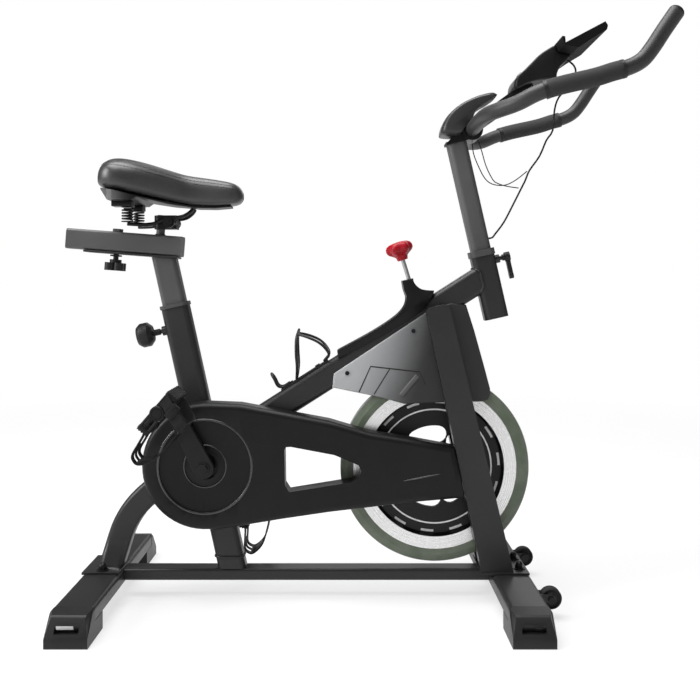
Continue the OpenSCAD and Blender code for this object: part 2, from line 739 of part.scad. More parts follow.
arm_in = 66;
arm_out = 80;
pedal_right_p = crank_p + crank_l * along(-crank_angle);
pedal_left_p = crank_p - crank_l * along(-crank_angle);
module crank_arm(a, boss_start) {
    difference() {
        union() {
            slab(arm_in, arm_out) translate(crank_p) rotate(a)
                polygon(tapered_points(crank_l, 19, 13));
            // boss that passes through the cover
            y_rod(crank_p, 17, boss_start, arm_in + 1);
        }
        y_rod(crank_p, crank_axle_r + 0.1, 30, 90);
        translate([crank_p[0], 0, crank_p[1]]) rotate([0, -a, 0]) translate([crank_l, 0, 0])
            y_rod([0, 0], spindle_r + 0.1, 60, 90);
    }
}
module crank_arms() {
    color("#202122") {
        mirror([0, 1, 0]) crank_arm(90 + crank_angle, 46);
        crank_arm(270 + crank_angle, shell_left + 1);
    }
}

module crank_bolts() {
    color("#3a3b3c") both_sides() {
        y_rod(crank_p, 12, arm_out, arm_out + 2);
        nut(crank_p, 9, arm_out + 2, arm_out + 7);
    }
}

pedal_in = 98;
module spindle(p) {
    y_rod(p, spindle_r, arm_in, pedal_in + pedal_w - 4);
    nut(p, 9.5, arm_out, pedal_in - 8);
    y_rod(p, 9, pedal_in - 8, pedal_in - 0.5);
}
module pedal_spindles() {
    color("#8b8d90") {
        mirror([0, 1, 0]) spindle(pedal_right_p);
        spindle(pedal_left_p);
    }
}

// ---------- pedals, in their own frame: X forward, Z on the cage's side ----------

pedal_right_turn = 130.5;
pedal_left_turn = 102.7;
teeth = 7;
function tooth_edge(s) = [for (i = [0:2 * teeth]) [s * pedal_l / 2 * (1 - i / teeth),
    s * (pedal_t / 2 - (i % 2) * 2)]];
module pedal_body() {
    difference() {
        union() {
            slab(pedal_in, pedal_in + pedal_w)
                polygon(concat(tooth_edge(1), tooth_edge(-1)));
            y_rod([0, 0], pedal_t / 2 + 1, pedal_in, pedal_in + pedal_w);
        }
        for (s = [-1, 1]) translate([s * 25 - 9, pedal_in + 12, -20])
            cube([18, pedal_w - 24, 40]);
        y_rod([0, 0], spindle_r + run, pedal_in - 1, pedal_in + pedal_w - 3.5);
    }
}
module toe_cage() {
    y0 = pedal_in + 16;
    y1 = pedal_in + pedal_w - 16;
    f = pedal_l / 2 + 1.7;
    difference() {
        slab(y0, y1) polygon(strip([[f, -9], [f, 3], [f + 46, 14], [f + 48.5, 22],
            [f + 45, 33], [f + 23, 46], [7, 47.5]], 3));
        translate([f + 6, y0 + 13, 0]) cube([32, y1 - y0 - 26, 24]);
        translate([14, y0 + 13, 30]) cube([f - 6, y1 - y0 - 26, 30]);
    }
    // strap: both ends beside the pedal and over the top of the cage
    for (y = [pedal_in - 1.8, pedal_in + pedal_w + 0.2])
        slab(y, y + 1.6) polygon([[-38, -6], [-16, -6], [-6, 51], [-25, 51]]);
    translate([-24.6, pedal_in - 1.8, 49.2]) cube([38, pedal_w + 3.6, 1.6]);
}
module pedal_right() {
    color("#1b1c1d") at(pedal_right_p, pedal_right_turn) mirror([0, 1, 0]) pedal_body();
}
module pedal_left() {
    color("#1b1c1d") at(pedal_left_p, pedal_left_turn) pedal_body();
}
module toe_cage_right() {
    color("#1b1c1d") at(pedal_right_p, pedal_right_turn) mirror([0, 1, 0]) toe_cage();
}
module toe_cage_left() {
    color("#1b1c1d") at(pedal_left_p, pedal_left_turn) toe_cage();
}

// ---------- covers ----------

// Side view of the belt cover, anticlockwise
cover_side = concat([[-256, 136.2], [-210, 143.6], [-131.7, 156.4], [-45.6, 169], [64, 182],
    [118, 188], [204, 195.5], [184.5, 289], [99, 305], [29.5, 316], [-14.5, 328.6],
    [-45.6, 338], [-210, 368.5]], arc(crank_p, cover_r, 86, 273, 34));
cover_window = [[-128, 285], [-127, 220], [-119, 207.5], [-5, 226], [8, 234], [13, 246],
    [8, 256.5], [-5, 262.6], [-36.5, 275.5], [-116, 290.5], [-125, 290]];
cover_in = half_w + cover_wall;
module cover_body(i, deep) {
    // outer face first, then the rounded shoulder, then the rim
    ys = [for (a = [90:-18:0]) -deep + 12 * (1 - sin(a))];
    gs = [for (a = [90:-18:0]) i + 12 * (1 - cos(a))];
    loft(concat([for (g = gs) inset(cover_side, g)], [inset(cover_side, i)]),
        concat(ys, [-cover_in + (i > 0 ? 1 : 0)]));
}
dish_r = 86;
dish_y = cover_y - 4;
module belt_cover() {
    color("#262728") difference() {
        cover_body(0, cover_y);
        difference() {
            union() {
                cover_body(cover_wall, cover_y - cover_wall);
                slab(-cover_y + cover_wall + 8, -cover_in + 1) polygon([[150, 193.5],
                    [215, 199], [195, 286], [150, 292.5]]);
            }
            slab(-80, 0) polygon(inset(cover_window, -cover_wall));
            y_rod(crank_p, dish_r + cover_wall, -80, -dish_y + cover_wall);
        }
        slab(-80, 0) polygon(cover_window);
        y_rod(crank_p, dish_r, -80, -dish_y);
        y_rod(crank_p, 24, -80, 0);
        difference() {
            y_rod(crank_p, 39, -dish_y - 1, -dish_y + 1.2);
            y_rod(crank_p, 30, -dish_y - 2, -dish_y + 2);
        }
    }
}
module belt_backplate() {
    color("#1f2021") slab(-cover_in, -half_w - 0.3) difference() {
        polygon(inset(cover_side, 0.6));
        translate(crank_p) circle(shell_r + 0.5);
        translate(fly_p) circle(34);
        polygon(cover_window);
    }
}

// Side view of the shroud over the flywheel, anticlockwise
shroud_side = [[-41, 394], [-37, 394], [32, 380], [66, 372], [94, 364], [178, 367.5],
    [240, 368.5], [251, 372], [255.6, 382], [255, 393], [243, 438], [225, 503], [210, 550],
    [181, 553], [141, 540], [-38, 421]];
shroud_in = half_w + 0.3;
shroud_out = half_w + 3.5;
module shroud_solid(grow) {
    slab(-shroud_out - grow, shroud_out + grow) polygon(inset(shroud_side, -grow));
}
module pad_gap() {
    translate([fork_top[0], 0, fork_top[1] - 12]) rotate([0, -main_rise, 0])
        cube([32, 80, 24], center = true);
}
module flywheel_shroud() {
    color("#4a4b4d") difference() {
        soft_slab(shroud_side, -shroud_out, shroud_out, 2.5, 2);
        slab(-shroud_in, shroud_in) polygon(inset(shroud_side, cover_wall));
        y_rod(fly_p, flywheel_r + 6, -shroud_in, shroud_in);
        main_solid(0.2);
        head_solid(0.2);
        pad_gap();
        for (p = screws) y_rod(p, 2.2, -80, 80);
    }
}
screws = [main_at(-20, -13), main_at(104, -13)];
module panel_screws() {
    color("#a9abad") both_sides() for (p = screws) {
        y_rod(p, 4, shroud_out, shroud_out + 1.6);
        y_rod(p, 2, half_w, shroud_out + 1);
    }
}

// Side view of the housing around the resistance rod, anticlockwise
housing_side = [[-26, 449], [58, 494], [101, 518.5], [134.5, 544], [142, 559], [144, 577],
    [127, 578], [114, 593], [112, 594.8], [91, 601.5], [90.5, 594], [97, 567], [90.5, 551],
    [67, 526], [24, 496], [-26, 467]];
rod_p = [103.4, 600.5];
module tension_housing() {
    h = half_w + 2.4;
    color("#2a2b2c") difference() {
        soft_slab(housing_side, -h, h, 2, 2);
        main_solid(0.3);
        at(rod_p, -rod_lean) translate([0, 0, -200]) cylinder(r = rod_d / 2 + 1, h = 260);
        pad_gap();
    }
}

// ---------- resistance ----------

knob_at = 43;
knob_h = 28;
pad_p = rod_p - 178 * along(-rod_lean);
module tension_knob() {
    color("#8e1a24") at(rod_p, -rod_lean) difference() {
        union() {
            translate([0, 0, knob_at]) cylinder(r = 11, h = 7);
            translate([0, 0, knob_at + 7]) linear_extrude(knob_h - 12) {
                circle(knob_d / 2 - 5.5);
                for (k = [0:5]) rotate(60 * k) translate([knob_d / 2 - 8, 0]) circle(8);
            }
            translate([0, 0, knob_at + knob_h - 5]) cylinder(r1 = 18, r2 = 13, h = 5);
        }
        translate([0, 0, knob_at - 1]) cylinder(r = rod_d / 2 + 0.1, h = 14);
    }
}
module tension_rod() {
    color("#a9abad") at(rod_p, -rod_lean) translate([0, 0, -164])
        cylinder(r = rod_d / 2, h = 164 + knob_at + 12.8);
}
module brake_pad() {
    lift = brake_travel * along(-rod_lean);
    color("#3a2f28") {
        slab(-13, 13) difference() {
            translate(pad_p - [24, 16]) square([48, 26]);
            translate(fly_p + lift) circle(flywheel_r + 0.8, $fn = 180);
        }
        difference() {
            at(rod_p, -rod_lean) translate([0, 0, -172]) cylinder(r = 9, h = 20);
            at(rod_p, -rod_lean) translate([0, 0, -164.3])
                cylinder(r = rod_d / 2 + run, h = 50);
            slab(-20, 20) translate(pad_p - [24, 16]) square([48, 25]);
        }
    }
}

// ---------- bushings ----------

seat_post_w = 33;
bar_post_w = 33;
module bushing(w, d, post_w, post_d, corner, rim, low) {
    difference() {
        union() {
            linear_extrude(rim) round_rect(d + 4, w + 4, 13);
            translate([0, 0, -low]) linear_extrude(low + 1)
                round_rect(d - 2 * tube_wall - 0.2, w - 2 * tube_wall - 0.2, corner);
        }
        translate([0, 0, -low - 1]) linear_extrude(low + rim + 2)
            round_rect(post_d + 2 * slide_gap, post_w + 2 * slide_gap, 9.2);
    }
}
module post_bushings() {
    color("#8a8a88") {
        difference() {
            at(seat_at(seat_tube_up), -seat_lean)
                bushing(frame_w, seat_tube_d, seat_post_w, seat_post_d, 10, 7, 70);
            at(seat_at(pin_s), -seat_lean) rotate([0, -90, 0])
                cylinder(r = pin_r + run, h = 60);
        }
        difference() {
            at(head_at(head_above), -head_lean)
                bushing(frame_w, head_tube_d, bar_post_w, bar_post_d, 8, 12, 60);
            at(head_at(lever_s), -head_lean) rotate([0, 90, 0])
                cylinder(r = lever_r + run, h = 60);
        }
    }
}

// ---------- bottle cage, in the main tube's frame: X along the tube, Z up from its top ----------

cage_p = main_at(-123.5) + (main_tube_d / 2) * main_up;
cage_turn = -main_rise;
wire_r = 2.5;
hoop = [[36, -9, 4.8], [42, -22, 12], [52, -36, 26], [63, -41, 46], [77, -31, 68], [89, 0, 80]];
stay = [[98, -9, 4.8], [112, -24, 10], [114, -37, 24], [109, -42, 42], [97, -38, 60],
    [84.5, -25.5, 73.5]];
foot_wire = [[20, -9, 4.8], [6, -10, 4.9], [-1, -12, 12], [0, -12, 26], [0, -8, 35],
    [0, 0, 37.5]];
module cage_wire(p) {
    q = spline(p, 4);
    sweep(concat(q, [for (i = [1:len(q) - 1]) mirrored(q)[i]]), wire_r, 10);
}
module bottle_cage() {
    color("#1f2021") at(cage_p, cage_turn) {
        translate([0, -14, 0.1]) cube([104, 28, 3]);
        for (u = [22, 82]) translate([u, 0, 3]) cylinder(r = 5, h = 2.6);
        cage_wire(hoop);
        cage_wire(foot_wire);
        both_sides() sweep(spline(stay, 4), wire_r, 10);
    }
}

// ---------- seat post, slider and saddle ----------

post_top = seat_tube_up + seat_post_out;
post_l = 270;
// Centre of the slider tube, in the middle of its adjustment
slider_p = seat_at(post_top) + [-76, 26];
slide_z = slider_h / 2 + slide_gap;
guide_t = 4;
stem_x = -14;
stem_r = 5;
module seat_post() {
    color("#9a9b9d") difference() {
        at(crank_p, -seat_lean) translate([0, 0, post_top - post_l])
            linear_extrude(post_l + 40) hollow_rect(seat_post_d, seat_post_w, 9, tube_wall);
        at(slider_p, slider_tilt) translate([-300, -300, -slide_z - guide_t]) cube(600);
    }
}
slot_l = 80 + 2 * stem_r + 6;
module slider_guide() {
    color(frame_grey) at(slider_p, slider_tilt) difference() {
        translate([-71, -slider_w / 2 - 2, -slide_z - guide_t])
            cube([177, slider_w + 4, guide_t]);
        translate([stem_x - slot_l / 2, -stem_r - 1, -40]) cube([slot_l, 2 * stem_r + 2, 60]);
    }
}

module seat_height_pin() {
    color("#1b1c1d") at(seat_at(pin_s), -seat_lean) rotate([0, -90, 0]) {
        translate([0, 0, seat_post_d / 2 + slide_gap + 0.3])
            cylinder(r = pin_r, h = 60 - seat_post_d / 2);
        translate([0, 0, seat_tube_d / 2 + 12]) cylinder(r = 6, h = 16);
        translate([0, 0, seat_tube_d / 2 + 26]) cylinder(r1 = 15, r2 = 23, h = 8);
        translate([0, 0, seat_tube_d / 2 + 34]) cylinder(r = 23, h = 14);
        translate([0, 0, seat_tube_d / 2 + 48]) cylinder(r1 = 23, r2 = 17, h = 8);
    }
}

stub_x = 67;
stub_r = 8;
slider_top = slider_h / 2;
module saddle_slider() {
    color("#55575a") at(slider_p, slider_tilt) {
        difference() {
            translate([-slider_l / 2, 0, 0]) rotate([0, 90, 0]) linear_extrude(slider_l)
                hollow_rect(slider_h, slider_w, 6, tube_wall);
            translate([stem_x, 0, -40]) cylinder(r = stem_r + run, h = 80);
        }
        // end caps
        for (s = [-1, 1]) translate([s * slider_l / 2, 0, 0]) rotate([0, s * 90, 0]) {
            linear_extrude(s > 0 ? 7 : 2) round_rect(slider_h, slider_w, 6);
            translate([0, 0, -10]) linear_extrude(10)
                round_rect(slider_h - 2 * tube_wall - 0.2, slider_w - 2 * tube_wall - 0.2, 4);
        }
        // saddle stub
        translate([stub_x, 0, slider_top]) cylinder(r = stub_r, h = 38);
        translate([stub_x, 0, slider_top]) cylinder(r1 = stub_r + 3, r2 = stub_r, h = 3);
        // fixed nut of the slider knob
        difference() {
            translate([stem_x, 0, slider_top]) cylinder(r = 10, h = 6, $fn = 6);
            translate([stem_x, 0, 0]) cylinder(r = stem_r + run, h = 40);
        }
    }
}
collar_gap = 1.2;
module slider_knob() {
    low = slide_z + guide_t + 10;
    color("#1b1c1d") at(slider_p, slider_tilt) translate([stem_x, 0, 0]) {
        translate([0, 0, -low]) cylinder(r = stem_r, h = low + slider_top + 5);
        translate([0, 0, -slide_z - guide_t - collar_gap - 3]) cylinder(r = 11, h = 3);
        translate([0, 0, -low - 21]) {
            cylinder(r = 11, h = 21.1);
            linear_extrude(15) for (k = [0:3]) rotate(45 + 90 * k)
                translate([12, 0]) circle(9.5);
        }
    }
}

function slider_xz(x, z) = slider_p + x * across(slider_tilt) + z * along(slider_tilt);
stub_p = slider_xz(stub_x, slider_top);
clamp_p = stub_p + [22, 24];
rail_y = 23;
rail_r = 3.5;
module saddle_clamp() {
    color("#2b2c2e") {
        difference() {
            union() {
                translate([stub_p[0] + 2, 0, stub_p[1] + 11]) cylinder(r = 13, h = 26);
                translate([stub_p[0] + 3, -13, stub_p[1] + 11])
                    cube([clamp_p[0] - stub_p[0] + 8, 26, 26]);
            }
            at(slider_p, slider_tilt) translate([stub_x, 0, slider_top])
                cylinder(r = stub_r + weld, h = 60);
        }
        both_sides() {
            y_rod(clamp_p, 11.5, 12, rail_y - rail_r - 0.1);
            y_rod(clamp_p, 11.5, rail_y + rail_r + 0.4, rail_y + rail_r + 5);
            y_rod(clamp_p, 2.5, 12, rail_y + rail_r + 12);
            nut(clamp_p, 8, rail_y + rail_r + 5, rail_y + rail_r + 10);
        }
    }
}

// Underside of the cushion, saddle stations [x, underside, top, half width]
saddle_x = seat_at(post_top)[0] + 360;
saddle_rows = [[-472, 772, 790, 50], [-466, 766, 808, 76], [-452, 763, 820, 92],
    [-432, 758.5, 823, 1], [-404, 752, 819, 1], [-372, 746, 811, 1], [-340, 741.3, 801.5, 1],
    [-311, 737, 793.5, 1], [-280, 735, 789, 1], [-250, 735, 784.5, 1],
    [-228, 737.5, 779.5, 1], [-216, 741.5, 772, 1], [-210, 749, 762, 1]];
// Half width of the saddle along its length
function half_width(x) = let(u = (x + 440) / 230,
    w = saddle_w / 2, n = nose_w / 2,
    k = min(max((u - 0.02) / 0.62, 0), 1))
    (w - (w - n) * (3 * k * k - 2 * k * k * k)) * (u < 0.86 ? 1 : sqrt(max(0.12,
        1 - pow((u - 0.86) / 0.15, 2))));
function row_half(r) = r[3] > 1 ? r[3] * saddle_w / 196 : half_width(r[0]);
cushion_sides = 28;
// Cross-section: flat underside, full sides and a domed top
function ring_y(a, w) = w * (cos(a) < 0 ? -1 : 1) * pow(abs(cos(a)), 0.62);
function ring_z(a, lo, hi) = let(m = lo + (hi - lo) * 0.36)
    sin(a) >= 0 ? m + (hi - m) * pow(sin(a), 0.8) : m - (m - lo) * pow(-sin(a), 0.55);
module body_along_x(rows) {
    // rows: [x, underside, top, half width]
    s = cushion_sides;
    m = len(rows) - 1;
    pts = [for (r = rows, k = [0:s - 1]) let(a = 360 * k / s)
        [saddle_x + r[0], ring_y(a, r[3]), ring_z(a, r[1], r[2])]];
    walls = [for (i = [0:m - 1], k = [0:s - 1]) let(q = (k + 1) % s)
        [i * s + k, (i + 1) * s + k, (i + 1) * s + q, i * s + q]];
    polyhedron(pts, concat(walls, [[for (k = [0:s - 1]) k]],
        [[for (k = [s - 1:-1:0]) m * s + k]]), convexity = 4);
}
module saddle_cushion() {
    color("#3b3a3c") body_along_x([for (r = saddle_rows) [r[0], r[1], r[2], row_half(r)]]);
}

// Moulded base under the cushion: side profile and plan meet in one solid
base_side = [[-464, 764.5], [-450, 742], [-406, 742], [-396, 747.5], [-345, 737.5],
    [-296, 731.5], [-262, 731], [-232, 733.5], [-232, 736.6], [-250, 734.5], [-280, 734.6],
    [-311, 736.6], [-340, 740.9], [-372, 745.6], [-404, 751.6], [-432, 758], [-452, 762.5]];
base_plan = [for (x = [-462:11.5:-232]) [x, half_width(x) - (x < -450 ? 24 : 12)]];
module saddle_base() {
    color("#77797b") translate([saddle_x, 0, 0]) intersection() {
        slab(-saddle_w / 2, saddle_w / 2) polygon(base_side);
        translate([0, 0, 700]) linear_extrude(100) polygon(concat(base_plan,
            [for (i = [len(base_plan) - 1:-1:0]) [base_plan[i][0], -base_plan[i][1]]]));
    }
}

rail_path = [[-419, 46, 700], [-404, 37, 699.6], [-388, 27, 700], [-372, 23.2, 703],
    [-358, rail_y, 709.5], [-346, rail_y, 712.2], [-333, rail_y, 713.5], [-320, 20, 716.5],
    [-309, 15, 724], [-304, 12, 730.7]];
spring_p = [-419, 46];
coil_r = 9.2;
coil_wire = 1.8;
turns = 4;
coil_low = 703.7;
coil_high = 730;
module saddle_undercarriage() {
    color("#2b2c2e") translate([saddle_x, 0, 0]) both_sides() {
        sweep(spline(rail_path, 3), rail_r, 10);
        translate([spring_p[0], spring_p[1], coil_low - 0.2]) cylinder(r = 11.5, h = 1.7);
        translate([spring_p[0], spring_p[1], coil_high]) cylinder(r = 11.5, h = 1.7);
        sweep([for (i = [0:14 * turns]) let(a = i * 360 / 14)
            [spring_p[0] + coil_r * cos(a), spring_p[1] + coil_r * sin(a),
            coil_low + 1.7 + coil_wire + (coil_high - coil_low - 1.9 - 2 * coil_wire)
                * i / (14 * turns)]], coil_wire, 8);
        translate([-446, spring_p[1] - 14, coil_high + 1.6])
            cube([37, 28, 742 - coil_high - 1.8]);
    }
}

// ---------- handlebar, console and shelf ----------

module handlebar_post() {
    color("#6b6c6e") at(head_p, -head_lean) translate([0, 0, -76])
        linear_extrude(76 + bar_post_up) hollow_rect(bar_post_d, bar_post_w, 10, tube_wall);
}

post_head = head_at(bar_post_up);
bar_p = post_head + [27.4, 23.4];
clamp_r = 20;
// Side view of the console's shell, anticlockwise
console_side = [for (p = [[79, 70], [118, 85], [156, 89], [156, 107], [175, 123], [181, 133],
    [158, 138], [153, 150], [124, 134], [108, 116.5], [82, 94], [77.6, 84]])
    bar_p + p + [-1, 3]];
module handlebar_clamp() {
    color("#1f2021") difference() {
        union() {
            at(post_head, -head_lean) translate([-21, -18.5, 0]) cube([42, 37, 5]);
            y_rod(bar_p, clamp_r, -24, 24);
            slab(-18, 18) polygon([head_at(bar_post_up + 4, -19), head_at(bar_post_up + 4, 19),
                bar_p + [10, -17.3], bar_p + [-19, 6]]);
            // arm that carries the console
            slab(-12, 12) polygon([bar_p + [14, 0], bar_p + [116, 72], bar_p + [116, 92],
                bar_p + [84, 80], bar_p + [0, 19]]);
        }
        y_rod(bar_p, bar_d / 2 + weld, -60, 60);
        slab(-60, 60) polygon(inset(console_side, -weld));
    }
}

// Side view of the dome over the clamp, anticlockwise
dome_side = [for (p = [[-59, -6], [-47.5, -11], [-27, -11], [-13, 2], [1, 17], [5, 38],
    [48, 64.5], [37, 70], [7.5, 62.5], [-22, 48], [-45, 28]]) bar_p + p];
module clamp_cover() {
    color("#424345") difference() {
        soft_slab(dome_side, -34, 34, 5);
        slab(-30, 30) polygon([for (p = [[-56, -60], [30, -60], [70, 50], [46, 62],
            [37, 67.2], [8.2, 60], [-20.6, 46], [-43, 26.4], [-56, -5]]) bar_p + p]);
        y_rod(bar_p, bar_d / 2 + 0.3, -60, 60);
    }
}

// Centre line of the left half of the handlebar, from the middle
bar_half = [for (p = [[0, 0, 0], [1, 50, 1], [3, 100, 2.5], [8, 145, 4], [22, 176, 5.5],
    [50, 203, 12], [81, 217, 26], [116, 222, 37], [173, 225, 50], [202, 225, 59],
    [231, 225, 67.5], [252, 225, 79.5], [268, 225, 99], [287, 225, 128],
    [308, 225, 158.5]]) [bar_p[0] + p[0], p[1], bar_p[1] + p[2]]];
bar_path = concat([bar_half[0], bar_half[0] + [0, 12, 0]],
    [for (i = [2:3 * len(bar_half) - 3]) spline(bar_half, 3)[i]]);
bar_end = len(bar_path) - 1;
bar_tip = unit(bar_path[bar_end] - bar_path[bar_end - 1]);
grip_first = 19;
grip_last = 29;
module handlebar() {
    color("#5e5f61") difference() {
        both_sides() sweep(bar_path, bar_d / 2);
        both_sides() sweep(concat(bar_path, [bar_path[bar_end] + 3 * bar_tip]),
            bar_d / 2 - tube_wall);
    }
}
module grips() {
    color("#2f3031") both_sides() {
        difference() {
            sweep(bar_path, grip_d / 2, 16, grip_first, grip_last);
            sweep(bar_path, bar_d / 2 + 0.2, 16, grip_first - 1, grip_last + 1);
        }
        // end plugs of the bar
        translate(bar_path[bar_end] + 0.1 * bar_tip) intersection() {
            sphere(bar_d / 2);
            rotate([0, atan2(bar_tip[0], bar_tip[2]), 0]) cylinder(r = 40, h = 40);
        }
    }
}

button_p = bar_p + [92.5, 107];
face_turn = -40.9;
module button_bore(r) {
    translate([button_p[0], 0, button_p[1]]) rotate([0, face_turn, 0])
        translate([0, 0, -14]) cylinder(r = r, h = 30);
}
module console() {
    h = console_w / 2;
    color("#2e3030") difference() {
        soft_slab(console_side, -h, h, 4);
        slab(-h + cover_wall, h - cover_wall) polygon(inset(console_side, cover_wall));
        button_bore(6.2);
        translate([lead_start[0], lead_start[1], lead_start[2]]) rotate([0, 120, 0])
            translate([0, 0, -6]) cylinder(r = 1.5, h = 5.9);
    }
}
module console_button() {
    color("#c9cbcb") translate([button_p[0], 0, button_p[1]]) rotate([0, face_turn, 0]) {
        translate([0, 0, -3]) cylinder(r = 6, h = 5.5);
        translate([0, 0, -cover_wall - 3.2]) cylinder(r = 8, h = 3);
    }
}

shelf_side = [for (p = [[156.5, 137.5], [176, 131], [186, 135], [203.5, 147], [234, 165.5],
    [235.5, 173], [231, 180], [159.5, 142], [158.5, 153], [153.5, 153.5]]) bar_p + p + [-1, 3]];
module tablet_shelf() {
    h = shelf_w / 2;
    color("#26282a") difference() {
        slab(-h, h) polygon(shelf_side);
        slab(-h, h) polygon(inset(console_side, -weld));
    }
}

module head_lever() {
    color("#1b1c1d") at(head_at(lever_s), -head_lean) rotate([0, 90, 0]) {
        translate([0, 0, bar_post_d / 2 + slide_gap + 0.3]) cylinder(r = lever_r,
            h = 50 - bar_post_d / 2);
        translate([0, 0, head_tube_d / 2 + 14]) cylinder(r = 6, h = 6);
        translate([0, 0, head_tube_d / 2 + 19]) {
            cylinder(r = 9, h = 10);
            translate([0, -5, 1]) cube([36, 10, 8]);
            translate([36, 0, 1]) cylinder(r = 6.5, h = 8);
        }
    }
}

// ---------- leads ----------

lead_start = [bar_p[0] + 177, -20, bar_p[1] + 131];
console_route = [lead_start, lead_start + [6, 0, -3.5], [413, -20, 998], [416, -19, 986],
    [408, -16, 966], [387, -10, 942], [379, -8, 918], [376, -6, 880], [364, -6, 861],
    [351, -6, 831], [332, -6, 804], [324, -6, 785], [314, -6, 765], [300, -5, 737],
    [284, -3, 706], [268, 0, 684], [262.7, 0, 677.4], [254.9, 0, 675.6]];
right_route = [[232.4, -12, 860.6], [235.4, -12, 855.4], [241, -13, 838], [249, -12, 811],
    [262, -10, 786], [272, -8, 779], [289, -6, 774], [312, -2.9, 771]];
left_route = [[226, 12, 858.3], [227, 12, 852], [228.5, 10, 838], [236, 8, 817],
    [249, 6, 791], [264, 4, 779], [287, 2, 777], [308, 0, 787], [328, -2.9, 803]];
module console_lead() {
    color("#1c1c1c") sweep(spline(console_route, 3), 1.75, 8);
}
module pulse_lead_right() {
    color("#1c1c1c") sweep(spline(right_route, 3), 1, 8);
}
module pulse_lead_left() {
    color("#1c1c1c") sweep(spline(left_route, 3), 1, 8);
}

base_tube();
seat_tube();
main_tube();
rear_leg();
fork();
head_tube();
bottom_bracket_shell();
bottom_bracket_bearings();
flywheel_axle();
rear_stabiliser();
front_stabiliser();
end_caps();
stabiliser_bolts();
wheel_axles();
belt_cover();
belt_backplate();
drive_belt();
flywheel_shroud();
panel_screws();
tension_housing();
post_bushings();
bottle_cage();
transport_wheel_right();
transport_wheel_left();
flywheel();
flywheel_hub();
flywheel_bearings();
crank_axle();
drive_pulley();
crank_arms();
crank_bolts();
pedal_spindles();
pedal_right();
toe_cage_right();
pedal_left();
toe_cage_left();
tension_knob();
tension_rod();
brake_pad();
seat_post();
slider_guide();
seat_height_pin();
saddle_slider();
slider_knob();
saddle_clamp();
saddle_undercarriage();
saddle_base();
saddle_cushion();
handlebar_post();
handlebar_clamp();
clamp_cover();
handlebar();
grips();
console();
tablet_shelf();
console_button();
head_lever();
console_lead();
pulse_lead_right();
pulse_lead_left();
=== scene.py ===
"""Indoor exercise bike: the looks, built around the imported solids. Metres, +X forward, +Y left, +Z up."""
import json
import math

import bmesh
import bpy
from mathutils import Matrix, Vector, noise


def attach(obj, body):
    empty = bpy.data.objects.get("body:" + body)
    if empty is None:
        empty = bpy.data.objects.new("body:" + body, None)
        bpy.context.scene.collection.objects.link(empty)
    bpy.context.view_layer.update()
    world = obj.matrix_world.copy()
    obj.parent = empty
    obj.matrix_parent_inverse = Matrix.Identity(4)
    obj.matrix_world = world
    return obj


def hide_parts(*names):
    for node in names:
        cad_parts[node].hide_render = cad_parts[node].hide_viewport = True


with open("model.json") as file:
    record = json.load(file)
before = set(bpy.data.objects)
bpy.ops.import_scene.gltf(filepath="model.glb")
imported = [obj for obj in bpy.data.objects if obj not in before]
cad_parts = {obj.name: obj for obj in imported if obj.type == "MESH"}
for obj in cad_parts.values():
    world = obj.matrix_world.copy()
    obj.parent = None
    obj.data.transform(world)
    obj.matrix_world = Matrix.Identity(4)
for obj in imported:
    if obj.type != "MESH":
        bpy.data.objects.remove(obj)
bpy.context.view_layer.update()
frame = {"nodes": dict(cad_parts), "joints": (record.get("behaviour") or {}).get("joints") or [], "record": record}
nodes = frame["nodes"]
record = frame["record"]
joints = {j["name"]: j for j in frame["joints"]}

# ---------- shader maths ----------


class Paint:
    """A node tree being written: one method adds any node."""

    def __init__(self, name):
        self.material = bpy.data.materials.new(name)
        self.material.use_nodes = True
        self.tree = self.material.node_tree
        self.tree.nodes.clear()

    def add(self, kind, settings=None, values=None):
        node = self.tree.nodes.new(kind)
        for key, value in (settings or {}).items():
            setattr(node, key, value)
        for key, value in (values or {}).items():
            self.put(node.inputs[key], value)
        return node

    def put(self, socket, value):
        if isinstance(value, Value):
            self.tree.links.new(value.socket, socket)
        elif isinstance(value, tuple) and len(value) == 3 and socket.type == "RGBA":
            socket.default_value = (*value, 1)
        else:
            socket.default_value = value

    def value(self, kind, settings=None, values=None, out=0):
        return Value(self, self.add(kind, settings, values).outputs[out])

    def place(self):
        return self.value("ShaderNodeTexCoord", out="Object")

    def noise(self, scale, detail=2.0, rough=0.5, stretch=None):
        at = self.place()
        if stretch:
            at = self.value("ShaderNodeMapping", values={"Vector": at, "Scale": stretch})
        return self.value("ShaderNodeTexNoise",
                          values={"Vector": at, "Scale": scale, "Detail": detail, "Roughness": rough})

    def mix(self, factor, a, b):
        return self.value("ShaderNodeMix", {"data_type": "RGBA"}, {0: factor, 6: a, 7: b}, out=2)

    def bump(self, height, strength, distance):
        return self.value("ShaderNodeBump",
                          values={"Height": height, "Strength": strength, "Distance": distance})

    def finish(self, **values):
        """Ends the material in one surface shader with these sockets."""
        shader = self.add("ShaderNodeBsdfPrincipled")
        for key, value in values.items():
            self.put(shader.inputs[key.replace("_", " ")], value)
        out = self.add("ShaderNodeOutputMaterial")
        self.tree.links.new(shader.outputs[0], out.inputs["Surface"])
        return self.material


